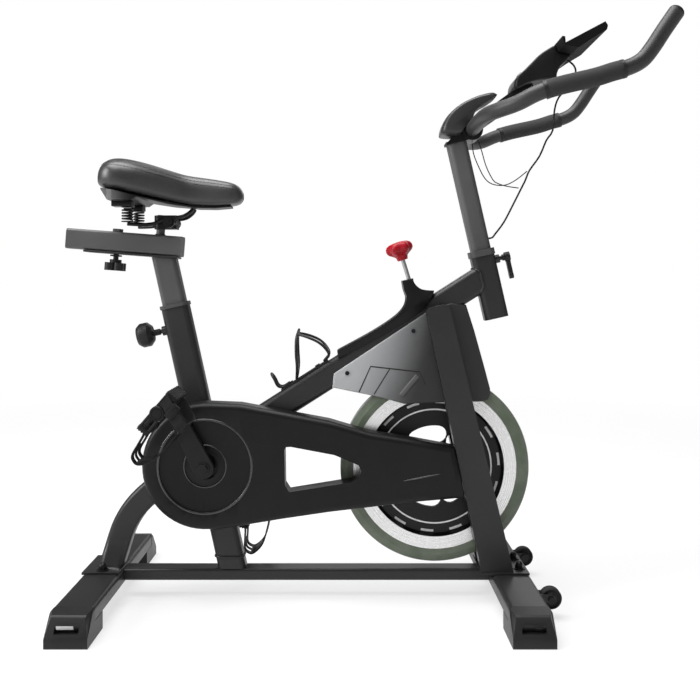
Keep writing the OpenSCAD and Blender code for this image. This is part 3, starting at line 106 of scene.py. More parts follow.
class Value:
    """A socket that adds Math nodes when it is used in an expression."""

    def __init__(self, paint, socket):
        self.paint = paint
        self.socket = socket

    def math(self, operation, *others):
        values = dict(enumerate((self, *others)))
        return self.paint.value("ShaderNodeMath", {"operation": operation}, values)

    def back(self, operation, other):
        return self.paint.value("ShaderNodeMath", {"operation": operation}, {0: other, 1: self})

    def __add__(self, other):
        return self.math("ADD", other)

    def __radd__(self, other):
        return self.back("ADD", other)

    def __sub__(self, other):
        return self.math("SUBTRACT", other)

    def __rsub__(self, other):
        return self.back("SUBTRACT", other)

    def __mul__(self, other):
        return self.math("MULTIPLY", other)

    def __rmul__(self, other):
        return self.back("MULTIPLY", other)

    def __gt__(self, other):
        return self.math("GREATER_THAN", other)

    def __lt__(self, other):
        return self.math("LESS_THAN", other)

    def between(self, low, high):
        return (self > low) * (self < high)

    def step(self, low, high):
        """0 below low, 1 above high, smooth between."""
        return self.paint.value("ShaderNodeMapRange", {"interpolation_type": "SMOOTHSTEP"},
                                {"Value": self, "From Min": low, "From Max": high})

    def xyz(self):
        node = self.paint.add("ShaderNodeSeparateXYZ", values={"Vector": self})
        return [Value(self.paint, node.outputs[i]) for i in range(3)]


def grey(level, tint=(1, 1, 1)):
    return tuple(level * t for t in tint)


# ---------- finishes ----------

finishes = {}


def powder_coat(name, colour, rough=0.42, bump=0.12, gloss=0.4):
    """Baked coat: fine orange peel, faint cloudiness, a little dust and rub in the sheen."""
    p = Paint(name)
    cloud = p.noise(7, 3, 0.55)
    fine = p.noise(900, 2, 0.5)
    peel = p.noise(260, 2, 0.4)
    shade = p.mix(cloud.step(0.3, 0.75), tuple(c * 0.86 for c in colour), tuple(c * 1.14 for c in colour))
    colour_out = p.mix(fine.step(0.62, 0.8) * 0.25, shade, tuple(min(1, c * 1.5 + 0.01) for c in colour))
    normal = p.bump(peel * 0.7 + fine * 0.3, bump, 0.0004)
    return p.finish(Base_Color=colour_out, Roughness=rough + (cloud - 0.5) * 0.16 + (fine - 0.5) * 0.1,
                    Normal=normal, Metallic=0.0, Specular_IOR_Level=gloss)


def moulded(name, colour, rough=0.5, grain=0.25, scale=650, gloss=0.25):
    """Injection-moulded plastic: spark-eroded grain, soft flow marks and a few scuffs."""
    p = Paint(name)
    grain_map = p.noise(scale, 3, 0.6)
    flow = p.noise(14, 3, 0.6, stretch=(1, 1, 0.35))
    scuff = p.noise(60, 4, 0.7, stretch=(0.3, 1, 1)).step(0.66, 0.8)
    shade = p.mix(flow.step(0.3, 0.7), tuple(c * 0.88 for c in colour), tuple(c * 1.12 for c in colour))
    colour_out = p.mix(scuff * 0.18, shade, tuple(min(1, c * 1.6 + 0.012) for c in colour))
    return p.finish(Base_Color=colour_out, Roughness=rough + (flow - 0.5) * 0.14 + scuff * 0.1,
                    Normal=p.bump(grain_map, grain, 0.0003), Specular_IOR_Level=gloss)


def steel(name, colour=(0.55, 0.55, 0.56), rough=0.3, stretch=(1, 40, 1)):
    """Bare steel: drawn lines and faint stains."""
    p = Paint(name)
    lines = p.noise(90, 3, 0.6, stretch=stretch)
    stain = p.noise(40, 3, 0.6)
    tone = p.mix(stain.step(0.35, 0.75), tuple(c * 0.8 for c in colour), colour)
    return p.finish(Base_Color=tone, Metallic=1.0,
                    Roughness=rough + (lines - 0.5) * 0.2 + (stain - 0.5) * 0.12,
                    Normal=p.bump(lines, 0.08, 0.0003))


def rubber(name, colour, rough=0.72, scale=500):
    """Matt rubber: fine pitting and a dusty bloom."""
    p = Paint(name)
    pits = p.noise(scale, 3, 0.7)
    bloom = p.noise(18, 3, 0.6)
    tone = p.mix(bloom.step(0.4, 0.75) * 0.5, colour, tuple(c * 1.7 + 0.004 for c in colour))
    return p.finish(Base_Color=tone, Roughness=rough + (bloom - 0.5) * 0.12, Normal=p.bump(pits, 0.3, 0.0004),
                    Specular_IOR_Level=0.25)


def wheel_face():
    """Flywheel: black web, printed ring and dashes, machined ring, painted outer ring, bare rim."""
    line_in, line_out = 0.1062, 0.1090
    dash_in, dash_out, dash_count = 0.1198, 0.1242, 14
    web_r = 0.1300
    machined_in, machined_out = 0.1305, 0.1533
    rim_r = 0.1770
    p = Paint("flywheel_face")
    centre = joints["flywheel_spin"]["pos_m"]
    x, y, z = p.place().xyz()
    dx = x - centre[0]
    dz = z - centre[2]
    r = (dx * dx + dz * dz).math("SQRT")
    turn = dz.math("ARCTAN2", dx)
    ring = p.value("ShaderNodeCombineXYZ", values={0: turn * 0.03, 1: r * 40, 2: y * 30})
    lathe = p.value("ShaderNodeTexNoise", values={"Vector": ring, "Scale": 60.0, "Detail": 3.0})
    cloud = p.noise(22, 3, 0.6)
    black = p.mix(cloud, grey(0.004), grey(0.008))
    olive = p.mix(cloud.step(0.3, 0.7), (0.10, 0.125, 0.088), (0.15, 0.17, 0.13))
    bare = p.mix(lathe.step(0.25, 0.75), grey(0.68), grey(0.86))
    edge = r.step(0.1625, 0.1655)
    machined = r.between(machined_in, machined_out)
    dashes = r.between(dash_in, dash_out) * (turn * dash_count).math("SINE").math("GREATER_THAN", 0.2)
    line = r.between(line_in, line_out)
    print_mask = (dashes * 0.85 + line).math("MINIMUM", 1.0) * (y.math("ABSOLUTE") < 0.02)
    web = p.mix(print_mask * (r < web_r - 0.001), black, grey(0.85))
    colour = p.mix(r.step(web_r, web_r + 0.0006), web, olive)
    colour = p.mix(machined, colour, bare)
    rim = y.math("ABSOLUTE").step(0.0, 0.0088)
    colour = p.mix(r > rim_r, colour, p.mix(lathe, grey(0.30), grey(0.42)))
    metal = (machined + (r > rim_r)).math("MINIMUM", 1.0)
    rough = 0.42 - metal * 0.16 + (lathe - 0.5) * 0.1 + (cloud - 0.5) * 0.12 + edge * 0.02 + rim * 0.01
    return p.finish(Base_Color=colour, Metallic=metal * 0.7, Roughness=rough,
                    Normal=p.bump(lathe * metal + cloud * 0.2, 0.1, 0.0003), Specular_IOR_Level=0.3)


def shroud_plastic():
    """Wheel shroud: satin grey at its tail going to black at the nose and lower edge, as painted light and shade.
    """
    p = Paint("shroud_plastic")
    grain = p.noise(650, 3, 0.6)
    flow = p.noise(10, 3, 0.6)
    x, y, z = p.place().xyz()
    # painted light and shade: lighter towards the tail and top as if lit from the left, darker towards the nose
    # and the bottom
    nose = (x + (0.42 - z) * 0.35 + (flow - 0.5) * 0.03).step(-0.02, 0.135)
    tone = p.mix(nose, p.mix(flow, grey(0.34, (0.98, 1, 1.02)), grey(0.41, (0.98, 1, 1.02))), grey(0.022))
    return p.finish(Base_Color=tone, Roughness=0.38 + (flow - 0.5) * 0.12 + grain * 0.04,
                    Normal=p.bump(grain, 0.2, 0.0003), Specular_IOR_Level=0.35)


def vinyl():
    """Saddle cover: soft leather grain in fine cells, rubbed smoother on top."""
    p = Paint("saddle_vinyl")
    cells = p.value("ShaderNodeTexVoronoi", {"feature": "DISTANCE_TO_EDGE"},
                    {"Vector": p.place(), "Scale": 420.0})
    folds = p.noise(120, 3, 0.6)
    worn = p.noise(9, 2, 0.5)
    tone = p.mix(cells.step(0.02, 0.2), grey(0.020), p.mix(worn, grey(0.030), grey(0.040)))
    height = cells.step(0.0, 0.25) * 0.6 + folds * 0.4
    return p.finish(Base_Color=tone, Roughness=0.36 + (worn - 0.5) * 0.15 + (folds - 0.5) * 0.1,
                    Normal=p.bump(height, 0.2, 0.0005), Specular_IOR_Level=0.6)


def base_plastic():
    """Saddle pan: grey moulding at the back that runs out in black under the nose, the black being painted shade
    under the cushion.
    """
    p = Paint("base_plastic")
    grain = p.noise(700, 3, 0.6)
    flow = p.noise(16, 3, 0.6)
    x = p.place().xyz()[0]
    # painted shade: the pan turns black towards the nose, where the cushion's nose hangs over it
    nose = (x + (flow - 0.5) * 0.01).step(-0.46, -0.40)
    tone = p.mix(nose, p.mix(flow, grey(0.13), grey(0.17)), grey(0.008))
    return p.finish(Base_Color=tone, Roughness=0.42 + (flow - 0.5) * 0.12, Normal=p.bump(grain, 0.2, 0.0003),
                    Specular_IOR_Level=0.25)


def foam(name, colour):
    """Closed-cell foam grip: pores and a dry sheen."""
    p = Paint(name)
    pores = p.value("ShaderNodeTexVoronoi", values={"Vector": p.place(), "Scale": 900.0})
    soft = p.noise(40, 3, 0.6)
    tone = p.mix(pores.step(0.1, 0.5), tuple(c * 0.7 for c in colour), tuple(c * 1.15 for c in colour))
    return p.finish(Base_Color=tone, Roughness=0.85, Normal=p.bump(pores.step(0.0, 0.5) + soft, 0.4, 0.0004))


finishes["frame_paint"] = powder_coat("frame_paint", grey(0.018), 0.38, 0.1, 0.35)
finishes["post_steel"] = powder_coat("post_steel", grey(0.072), 0.38)
finishes["bright_steel"] = steel("bright_steel")
finishes["cover_plastic"] = moulded("cover_plastic", grey(0.007), 0.4, gloss=0.2)
finishes["shroud_plastic"] = shroud_plastic()
finishes["shelf_plastic"] = moulded("shelf_plastic", grey(0.008), 0.7, gloss=0.06)
# lighter and glossier copy of the cover's plastic: the gloss is the plastic's own, the lighter tone is a painted
# highlight
finishes["lip_plastic"] = moulded("lip_plastic", grey(0.02), 0.24, 0.04, gloss=0.7)
finishes["cap_plastic"] = moulded("cap_plastic", grey(0.016), 0.4)
finishes["dome_plastic"] = moulded("dome_plastic", grey(0.026), 0.36, gloss=0.4)
finishes["bushing_plastic"] = moulded("bushing_plastic", grey(0.06), 0.5)
finishes["cage_plastic"] = moulded("cage_plastic", grey(0.012), 0.42)
finishes["wheel_plastic"] = rubber("wheel_plastic", grey(0.012))
finishes["belt_rubber"] = rubber("belt_rubber", grey(0.012))
finishes["flywheel_iron"] = wheel_face()
finishes["hub_steel"] = powder_coat("hub_steel", grey(0.012), 0.35, gloss=0.25)
finishes["crank_paint"] = powder_coat("crank_paint", grey(0.007), 0.34, gloss=0.25)
finishes["pedal_plastic"] = moulded("pedal_plastic", grey(0.005), 0.48)
finishes["knob_red"] = moulded("knob_red", (0.30, 0.002, 0.010), 0.42, 0.05)
finishes["knob_black"] = moulded("knob_black", grey(0.012), 0.42)
finishes["brake_felt"] = rubber("brake_felt", (0.05, 0.04, 0.03), 0.95, 900)
finishes["base_plastic"] = base_plastic()
finishes["saddle_vinyl"] = vinyl()
finishes["saddle_thread"] = finishes["saddle_vinyl"]
finishes["bar_paint"] = powder_coat("bar_paint", grey(0.028), 0.42, 0.04, 0.35)
finishes["grip_foam"] = foam("grip_foam", grey(0.02))
finishes["button_plastic"] = moulded("button_plastic", grey(0.45), 0.3, 0.05)
finishes["strap_web"] = rubber("strap_web", grey(0.012), 0.8, 1400)
finishes["lens_grey"] = moulded("lens_grey", grey(0.5), 0.2, 0.02)
finishes["lead_rubber"] = rubber("lead_rubber", grey(0.008), 0.5)

slots = {s["node"]: s["material_slot"] for s in record["subparts"]}
blackened = ("panel_screws", "stabiliser_bolts", "wheel_axles")


def finish_of(node):
    """A node's finish is its slot's, but the small screws, bolts and axles are blackened."""
    return "crank_paint" if node in blackened else slots[node]


for name, obj in nodes.items():
    obj.data.materials.clear()
    obj.data.materials.append(finishes[finish_of(name)])

# ---------- making pieces: sizes in millimetres, in the model's own frame ----------

MM = 0.001
body_of = {n: body for body, members in record["behaviour"]["bodies"].items() for n in members}


def along(a):
    """Unit step in the XZ plane that leans forward from vertical by a degrees."""
    return Vector((math.sin(math.radians(a)), 0, math.cos(math.radians(a))))


def across(a):
    return Vector((math.cos(math.radians(a)), 0, -math.sin(math.radians(a))))


def xz(x, z, y=0):
    return Vector((x, y, z))


def at(p, lean=0):
    """Puts a shape at a point, with its own Z leaning forward by an angle."""
    return Matrix.Translation(p) @ Matrix.Rotation(math.radians(lean), 4, "Y")


def spline(points, steps):
    """Smooth curve through a list of points."""
    pts = [Vector(p) for p in points]
    out = []
    for i in range(len(pts) - 1):
        a, b, c, d = pts[max(i - 1, 0)], pts[i], pts[i + 1], pts[min(i + 2, len(pts) - 1)]
        for k in range(steps):
            u = k / steps
            out.append(0.5 * (2 * b + (c - a) * u + (2 * a - 5 * b + 4 * c - d) * u * u
                              + (3 * b - a - 3 * c + d) * u ** 3))
    return out + [pts[-1]]


def joined(*shapes):
    whole = bmesh.new()
    for shape in shapes:
        mesh = bpy.data.meshes.new("shape")
        shape.to_mesh(mesh)
        whole.from_mesh(mesh)
        bpy.data.meshes.remove(mesh)
        shape.free()
    return whole


def moved(shape, matrix):
    bmesh.ops.transform(shape, matrix=matrix, verts=shape.verts)
    return shape


def both(shape):
    """The shape and its mirror image on the other side of the middle plane."""
    other = shape.copy()
    bmesh.ops.scale(other, vec=(1, -1, 1), verts=other.verts)
    bmesh.ops.reverse_faces(other, faces=other.faces)
    return joined(shape, other)


def tube(points, radius, sides=20):
    """Round bar along points; radius is a number, or one number per point."""
    pts = [Vector(p) for p in points]
    curve = bpy.data.curves.new("bar", "CURVE")
    curve.dimensions = "3D"
    line = curve.splines.new("POLY")
    line.points.add(len(pts) - 1)
    radii = radius if isinstance(radius, list) else [radius] * len(pts)
    for point, p, r in zip(line.points, pts, radii):
        point.co = (*p, 1)
        point.radius = r
    curve.bevel_depth = 1
    curve.bevel_resolution = max(0, (sides - 4) // 2)
    curve.use_fill_caps = True
    obj = bpy.data.objects.new("bar", curve)
    mesh = bpy.data.meshes.new_from_object(obj)
    shape = bmesh.new()
    shape.from_mesh(mesh)
    bpy.data.objects.remove(obj)
    bpy.data.meshes.remove(mesh)
    bpy.data.curves.remove(curve)
    bmesh.ops.remove_doubles(shape, verts=shape.verts, dist=1e-4)
    bmesh.ops.recalc_face_normals(shape, faces=shape.faces)
    return shape


def bevelled(shape, width, segments=3, corner=30, keep=None):
    """Rounds the edges that turn by more than a corner angle."""
    edges = [e for e in shape.edges if e.is_manifold and e.calc_face_angle(0) > math.radians(corner)
             and (keep is None or keep(e))]
    bmesh.ops.bevel(shape, geom=edges, offset=width, segments=segments, profile=0.5,
                    affect="EDGES", clamp_overlap=True, material=-1)
    return shape


def plate(outline, y0, y1, width=0, segments=3):
    """Slab between two planes across the bike, from an outline in its side view."""
    shape = bmesh.new()
    shape.faces.new([shape.verts.new((p[0], y0, p[1])) for p in outline])
    grown = bmesh.ops.extrude_face_region(shape, geom=list(shape.faces))
    bmesh.ops.translate(shape, vec=(0, y1 - y0, 0),
                        verts=[g for g in grown["geom"] if isinstance(g, bmesh.types.BMVert)])
    bmesh.ops.recalc_face_normals(shape, faces=shape.faces)
    if width:
        bevelled(shape, width, segments, 40,
                 lambda e: abs(e.verts[0].co.y - e.verts[1].co.y) < 1e-4)
    return shape


def pillow(outline, half, edge, shrink, steps=6):
    """Slab across the bike whose two sides close in a soft curve, from an outline in its side view."""
    middle = sum((Vector(p) for p in outline), Vector((0, 0))) / len(outline)
    shape = bmesh.new()
    shape.faces.new([shape.verts.new((p[0], -half + edge, p[1])) for p in outline])
    grown = bmesh.ops.extrude_face_region(shape, geom=list(shape.faces))
    bmesh.ops.translate(shape, vec=(0, 2 * (half - edge), 0),
                        verts=[g for g in grown["geom"] if isinstance(g, bmesh.types.BMVert)])
    for side in (-1, 1):
        end = max(shape.faces, key=lambda f: f.calc_center_median().y * side + (len(f.verts) > 4) * 1000)
        before = 1.0
        for k in range(1, steps + 1):
            turn = math.pi / 2 * k / steps
            size = 1 - shrink * (1 - math.cos(turn))
            end = bmesh.ops.extrude_discrete_faces(shape, faces=[end])["faces"][0]
            rise = edge * (math.sin(turn) - math.sin(math.pi / 2 * (k - 1) / steps)) * side
            for vert in end.verts:
                vert.co.x = middle[0] + (vert.co.x - middle[0]) * size / before
                vert.co.z = middle[1] + (vert.co.z - middle[1]) * size / before
                vert.co.y += rise
            before = size
    bmesh.ops.recalc_face_normals(shape, faces=shape.faces)
    bmesh.ops.triangulate(shape, faces=[f for f in shape.faces if len(f.verts) > 4], ngon_method="EAR_CLIP")
    return shape


def block(size, centre=(0, 0, 0), width=0, segments=3):
    shape = bmesh.new()
    bmesh.ops.create_cube(shape, size=1)
    bmesh.ops.scale(shape, vec=size, verts=shape.verts)
    bmesh.ops.translate(shape, vec=centre, verts=shape.verts)
    if width:
        bevelled(shape, width, segments)
    return shape


def turned(profile, steps=48):
    """Turns a profile of (radius, height) points round Z."""
    shape = bmesh.new()
    line = [shape.verts.new((r, 0, z)) for r, z in profile]
    edges = [shape.edges.new(pair) for pair in zip(line, line[1:])]
    bmesh.ops.spin(shape, geom=line + edges, cent=(0, 0, 0), axis=(0, 0, 1), dvec=(0, 0, 0),
                   angle=2 * math.pi, steps=steps, use_merge=True)
    bmesh.ops.remove_doubles(shape, verts=shape.verts, dist=1e-4)
    bmesh.ops.recalc_face_normals(shape, faces=shape.faces)
    return shape


def sideways(p, y, out=1):
    """Puts a turned shape's Z along the bike's width, out to its right (-1) or left (1)."""
    return Matrix.Translation(xz(p[0], p[1], y)) @ Matrix.Rotation(math.radians(-90 * out), 4, "X")


def make(name, shape, finish, body, replaces=(), smooth=38):
    """Makes the finished piece: metres, smooth shading with crisp corners, and its body."""
    bmesh.ops.scale(shape, vec=(MM, MM, MM), verts=shape.verts)
    mesh = bpy.data.meshes.new(name)
    shape.to_mesh(mesh)
    shape.free()
    mesh.materials.append(finishes[finish])
    mesh.shade_smooth()
    mesh.set_sharp_from_angle(angle=math.radians(smooth))
    obj = bpy.data.objects.new(name, mesh)
    bpy.context.collection.objects.link(obj)
    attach(obj, body)
    if replaces:
        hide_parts(*([replaces] if isinstance(replaces, str) else replaces))
    return obj


def soften(name, width, segments=2, finish=None):
    """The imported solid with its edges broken, as a cast, pressed or moulded piece has."""
    shape = bmesh.new()
    shape.from_mesh(nodes[name].data)
    bmesh.ops.scale(shape, vec=(1000, 1000, 1000), verts=shape.verts)
    bmesh.ops.remove_doubles(shape, verts=shape.verts, dist=0.002)
    if width:
        bmesh.ops.dissolve_limit(shape, angle_limit=math.radians(1.0), verts=shape.verts, edges=shape.edges)
        bevelled(shape, width, segments, 38)
    piece = make(name + "_dressed", shape, finish or finish_of(name), body_of[name], name, 42)
    weight = piece.modifiers.new("flat_sides", "WEIGHTED_NORMAL")
    weight.keep_sharp = True
    return piece


# ---------- leads ----------

bar_p = xz(221.684, 878.619)
lead_start = (bar_p[0] + 177, -20, bar_p[2] + 131)
console_route = [lead_start, (lead_start[0] + 6, -20, lead_start[2] - 3.5), (413, -20, 998),
                 (416, -19, 986), (408, -16, 966), (387, -10, 942), (379, -8, 918), (376, -6, 880),
                 (364, -6, 861), (351, -6, 831), (332, -6, 804), (324, -6, 785), (314, -6, 765),
                 (300, -5, 737), (284, -3, 706), (268, 0, 684), (262.7, 0, 677.4), (254.9, 0, 675.6)]
right_route = [(232.4, -12, 860.6), (235.4, -12, 855.4), (241, -13, 838), (249, -12, 811), (262, -10, 786),
               (272, -8, 779), (289, -6, 774), (312, -2.9, 771)]
left_route = [(226, 12, 858.3), (227, 12, 852), (228.5, 10, 838), (236, 8, 817), (249, 6, 791),
              (264, 4, 779), (287, 2, 777), (308, 0, 787), (328, -2.9, 803)]


def lead(name, route, radius):
    """Cord along a route of points."""
    path = spline(route, 3)
    length = sum((b - a).length for a, b in zip(path, path[1:])) * MM
    obj = make(name + "_cable", tube(path, radius, 12), "lead_rubber", "handlebar", name, 60)
    tuple(path[0] * MM)
    [tuple(p * MM) for p in path]


lead("console_lead", console_route, 1.75)
lead("pulse_lead_right", right_route, 1.0)
lead("pulse_lead_left", left_route, 1.0)

# ---------- saddle ----------

saddle_x = 0.07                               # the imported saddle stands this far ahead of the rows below
ring_sides = 36
widest_at = 0.36                              # share of the height at which the cushion is widest
side_power, top_power = 0.64, 0.82            # how full the sides and the crown are
channel_x, channel_l, channel_w, channel_depth = -385, 75, 13, 3.2
seam_at, seam_w = 0.62, 0.055                 # angle up from the widest line, and its spread
stitch_gap, stitch_l, thread_r = 1.6, 3.0, 0.38
back_low, back_high, back_draw = 772, 790, 7  # the rounded back end
spring_x, spring_y = -419, 46
coil_r, coil_wire, coil_turns = 9.2, 1.8, 4
coil_low, coil_high, cup_t = 703.7, 730, 1.7
rail_r = 3.5
# each row across the cushion: place, underside, top, and half width where the curve below doesn't give it
saddle_rows = [(-472, 772, 790, 50), (-466, 766, 808, 76), (-452, 763, 820, 92), (-432, 758.5, 823, 0),
               (-404, 752, 819, 0), (-372, 746, 811, 0), (-340, 741.3, 801.5, 0), (-311, 737, 793.5, 0),
               (-280, 735, 789, 0), (-250, 735, 784.5, 0), (-228, 737.5, 779.5, 0), (-216, 741.5, 772, 0),
               (-210.2, 749, 762, 0)]


def half_width(x):
    u = (x + 440) / 230
    k = min(max((u - 0.02) / 0.62, 0), 1)
    nose = 1 if u < 0.86 else math.sqrt(max(0.12, 1 - ((u - 0.86) / 0.15) ** 2))
    return (98 - 65 * (3 * k * k - 2 * k ** 3)) * nose


def cushion_ring(x, low, high, half):
    """One closed ring across the cushion: flat underside, full sides, domed top with a shallow channel."""
    points = []
    off = abs(x - channel_x)
    channel = channel_depth * (1 - off / channel_l) ** 0.5 if off < channel_l else 0
    middle = low + (high - low) * widest_at
    for k in range(ring_sides):
        a = 2 * math.pi * k / ring_sides
        c, s = math.cos(a), math.sin(a)
        y = half * math.copysign(abs(c) ** side_power, c)
        if s >= 0:
            z = middle + (high - middle) * s ** top_power
            z -= channel * math.exp(-(y / channel_w) ** 2)
        else:
            z = middle - (middle - low) * (-s) ** 0.55
        # the sewn seam pulls the cover in between the top panel and the side panels
        seam = max(math.exp(-((a - b) / seam_w) ** 2) for b in (seam_at, math.pi - seam_at))
        if s > 0:
            y -= math.copysign(1.3 * seam, y)
            z -= 1.1 * seam
        points.append(Vector((x, y, z)))
    return points


def cushion():
    """Padded saddle top: rings from back to nose, closed at both ends, with its stitches."""
    rows = [(x, low, high, w or half_width(x)) for x, low, high, w in saddle_rows]
    fine = spline([Vector(r[:3]) for r in rows], 3)
    halves = spline([Vector((r[0], r[3], 0)) for r in rows], 3)
    shape = bmesh.new()
    rings = []
    stations = [(p[0], p[1], p[2], h[1]) for p, h in zip(fine, halves)]
    first, last = stations[0], stations[-1]
    for i, share in enumerate((0.35, 0.75)):
        draw = back_draw * (1 - share)
        stations.insert(i, (first[0] - 1.0 + share, back_low + draw, back_high - draw, first[3] * share))
    stations.append((last[0] + 0.15, 751.5, 759.5, last[3] * 0.6))
    for x, low, high, half in stations:
        ring = bmesh.ops.create_circle(shape, segments=ring_sides, radius=1)["verts"]
        for vert, place in zip(ring, cushion_ring(x, low, high, half)):
            vert.co = place
        rings.append(ring)
    for a, b in zip(rings, rings[1:]):
        edges = [e for r in (a, b) for v in r for e in v.link_edges if e.other_vert(v) in r]
        bmesh.ops.bridge_loops(shape, edges=list(set(edges)))
    for ring in (rings[0], rings[-1]):
        face = bmesh.ops.contextual_create(shape, geom=ring)["faces"][0]
        bmesh.ops.poke(shape, faces=[face])
    bmesh.ops.recalc_face_normals(shape, faces=shape.faces)
    moved(shape, Matrix.Translation((saddle_x, 0, 0)))
    obj = make("saddle_pad", shape, "saddle_vinyl", "saddle", "saddle_cushion", 180)
    grow = obj.modifiers.new("smooth", "SUBSURF")
    grow.levels = grow.render_levels = 2
    # twin rows of stitches beside each seam
    stitches = []
    for side in (1, -1):
        for a in (seam_at - 0.12, seam_at + 0.12):
            line = []
            for x, low, high, half in stations[6:-6]:
                middle = low + (high - low) * widest_at
                line.append(Vector((x + saddle_x, side * (half * math.cos(a) ** side_power + 0.15),
                                    middle + (high - middle) * math.sin(a) ** top_power + 0.1)))
            line = spline(line, 8)
            run = 0.0
            start = None
            for p, q in zip(line, line[1:]):
                run += (q - p).length
                if start is None and run > stitch_gap:
                    start, run = p.copy(), 0.0
                elif start is not None and run > stitch_l:
                    middle = (start + q) / 2 + Vector((0, side * 0.25, 0.2))
                    stitches.append(tube([start, middle, q], thread_r, 6))
                    start, run = None, 0.0
    make("saddle_stitches", joined(*stitches), "saddle_thread", "saddle", smooth=60)


def saddle_frame():
    """Rails, coil springs in their cups and the blocks above them."""
    rail_path = [(-419, 46, 700), (-404, 37, 699.6), (-388, 27, 700), (-372, 23.2, 703), (-358, 23, 709.5),
                 (-346, 23, 712.2), (-333, 23, 713.5), (-320, 20, 716.5), (-309, 15, 724), (-304, 12, 730.7)]
    coil = []
    steps = 24 * coil_turns
    foot = coil_low + cup_t + coil_wire
    rise = coil_high - 0.2 - coil_wire - foot
    for i in range(steps + 1):
        a = i * 2 * math.pi / 24
        coil.append((spring_x + coil_r * math.cos(a), spring_y + coil_r * math.sin(a),
                     foot + rise * i / steps))
    parts = [tube(spline(rail_path, 5), rail_r, 14), tube(coil, coil_wire, 10)]
    cup = [(0, 0), (10.9, 0), (11.5, 0.5), (11.5, 1.2), (10.9, cup_t), (0, cup_t)]
    for z in (coil_low - 0.2, coil_high):
        parts.append(moved(turned(cup, 32), Matrix.Translation((spring_x, spring_y, z))))
    parts.append(block((37, 28, 10.2), (spring_x - 8.5, spring_y, 736.7), 1.2))
    shape = both(joined(*parts))
    moved(shape, Matrix.Translation((saddle_x, 0, 0)))
    make("saddle_springs", shape, slots["saddle_undercarriage"], "saddle", "saddle_undercarriage", 45)


cushion()
saddle_frame()
soften("saddle_base", 1.2, 3)
soften("saddle_clamp", 0.8)

# ---------- handlebar ----------

bar_half = [Vector((bar_p[0] + x, y, bar_p[2] + z)) for x, y, z in (
    (0, 0, 0), (1, 50, 1), (3, 100, 2.5), (8, 145, 4), (22, 176, 5.5), (50, 203, 12), (81, 217, 26),
    (116, 222, 37), (173, 225, 50), (202, 225, 59), (231, 225, 67.5), (252, 225, 79.5), (268, 225, 99),
    (287, 225, 128), (308, 225, 158.5))]
bar_r = 13.5
foam_r = 15.5
foam_from, foam_to = 76, 116                  # steps along the bar, of 12 between two of its points


def handlebar():
    """Bar, foam grips with their rings, and end plugs: the left half and its mirror image."""
    half = spline(bar_half, 6)
    half = [half[0], half[0] + Vector((0, 12, 0))] + half[3:]
    mirror = [Vector((p[0], -p[1], p[2])) for p in reversed(half[1:])]
    make("bar", tube(mirror + half, bar_r, 32), "bar_paint", body_of["handlebar"], "handlebar", 50)
    whole = spline(bar_half, 12)
    grip = whole[foam_from:foam_to + 1]
    n = len(grip)
    radii = []
    for i in range(n):
        end = min(i, n - 1 - i)
        radii.append((13.9, 14.7, 15.2, 15.45)[end] if end < 4 else foam_r)
    make("foam_grips", both(tube(grip, radii, 32)), "grip_foam", body_of["grips"], "grips", 60)
    # ring at each end of the foam and the rounded plug in the bar's end
    rings = [tube(grip[i:i + 3], foam_r + 0.2, 32) for i in (0, n - 3)]
    make("grip_rings", both(joined(*rings)), "cap_plastic", body_of["grips"])
    tip = whole[-1]
    way = (whole[-1] - whole[-2]).normalized()
    lean = math.degrees(math.atan2(way[0], way[2]))
    plug = turned([(0, 8.2), (4, 8.0), (8, 7.0), (11, 4.8), (12.8, 2.0), (13.4, 0.1), (13.4, 0), (0, 0)], 32)
    make("bar_plugs", both(moved(plug, at(tip, lean))), "cap_plastic", body_of["grips"])


handlebar()

console_side = [(bar_p[0] + x - 1, bar_p[2] + z + 3) for x, z in (
    (79, 70), (98, 78.5), (118, 85), (140, 88), (155, 90), (157, 99), (163, 112), (175, 123), (181, 133),
    (168, 136), (158, 139), (153, 151), (140, 145), (124, 134), (108, 118), (94, 104), (82, 93), (77.6, 82))]
dome_side = [(bar_p[0] + x, bar_p[2] + z) for x, z in (
    (-59, -6), (-55, -10), (-40, -11.5), (-24, -9.5), (-13, 2), (-3, 12), (2, 24), (9, 38), (28, 53),
    (46, 63.5), (44, 68), (34, 69.5), (7.5, 62.5), (-22, 48), (-45, 28), (-56, 9))]


def rounded(outline, steps=3):
    """Smooth closed line through the points of an outline."""
    n = len(outline)
    line = spline([(x, z, 0) for x, z in (outline * 3)[n - 2:2 * n + 2]], steps)
    return [(p[0], p[1]) for p in line[2 * steps:(n + 2) * steps]]


def console():
    shell = pillow(rounded(console_side), half=40, edge=9, shrink=0.12)
    make("console_shell", shell, slots["console"], body_of["console"], "console", 40)


def dome():
    """Crowned cover over the clamp."""
    shell = pillow(rounded(dome_side), half=34, edge=16, shrink=0.22)
    make("clamp_dome", shell, "dome_plastic", body_of["clamp_cover"], "clamp_cover", 50)


console()
dome()
soften("tablet_shelf", 1.5, 3, finish="shelf_plastic")
soften("handlebar_clamp", 1.0, 2)
soften("head_lever", 0.8, 2)

# ---------- resistance knob and the fairing round its rod ----------

knob_p = Vector(joints["resistance_knob_turn"]["pos_m"]) * 1000
rod_lean = math.degrees(math.atan2(*[joints["resistance_knob_turn"]["axis"][i] for i in (0, 2)]))
lobes, lobe_depth = 6, 0.17
knob_h, knob_drop = 36, 4


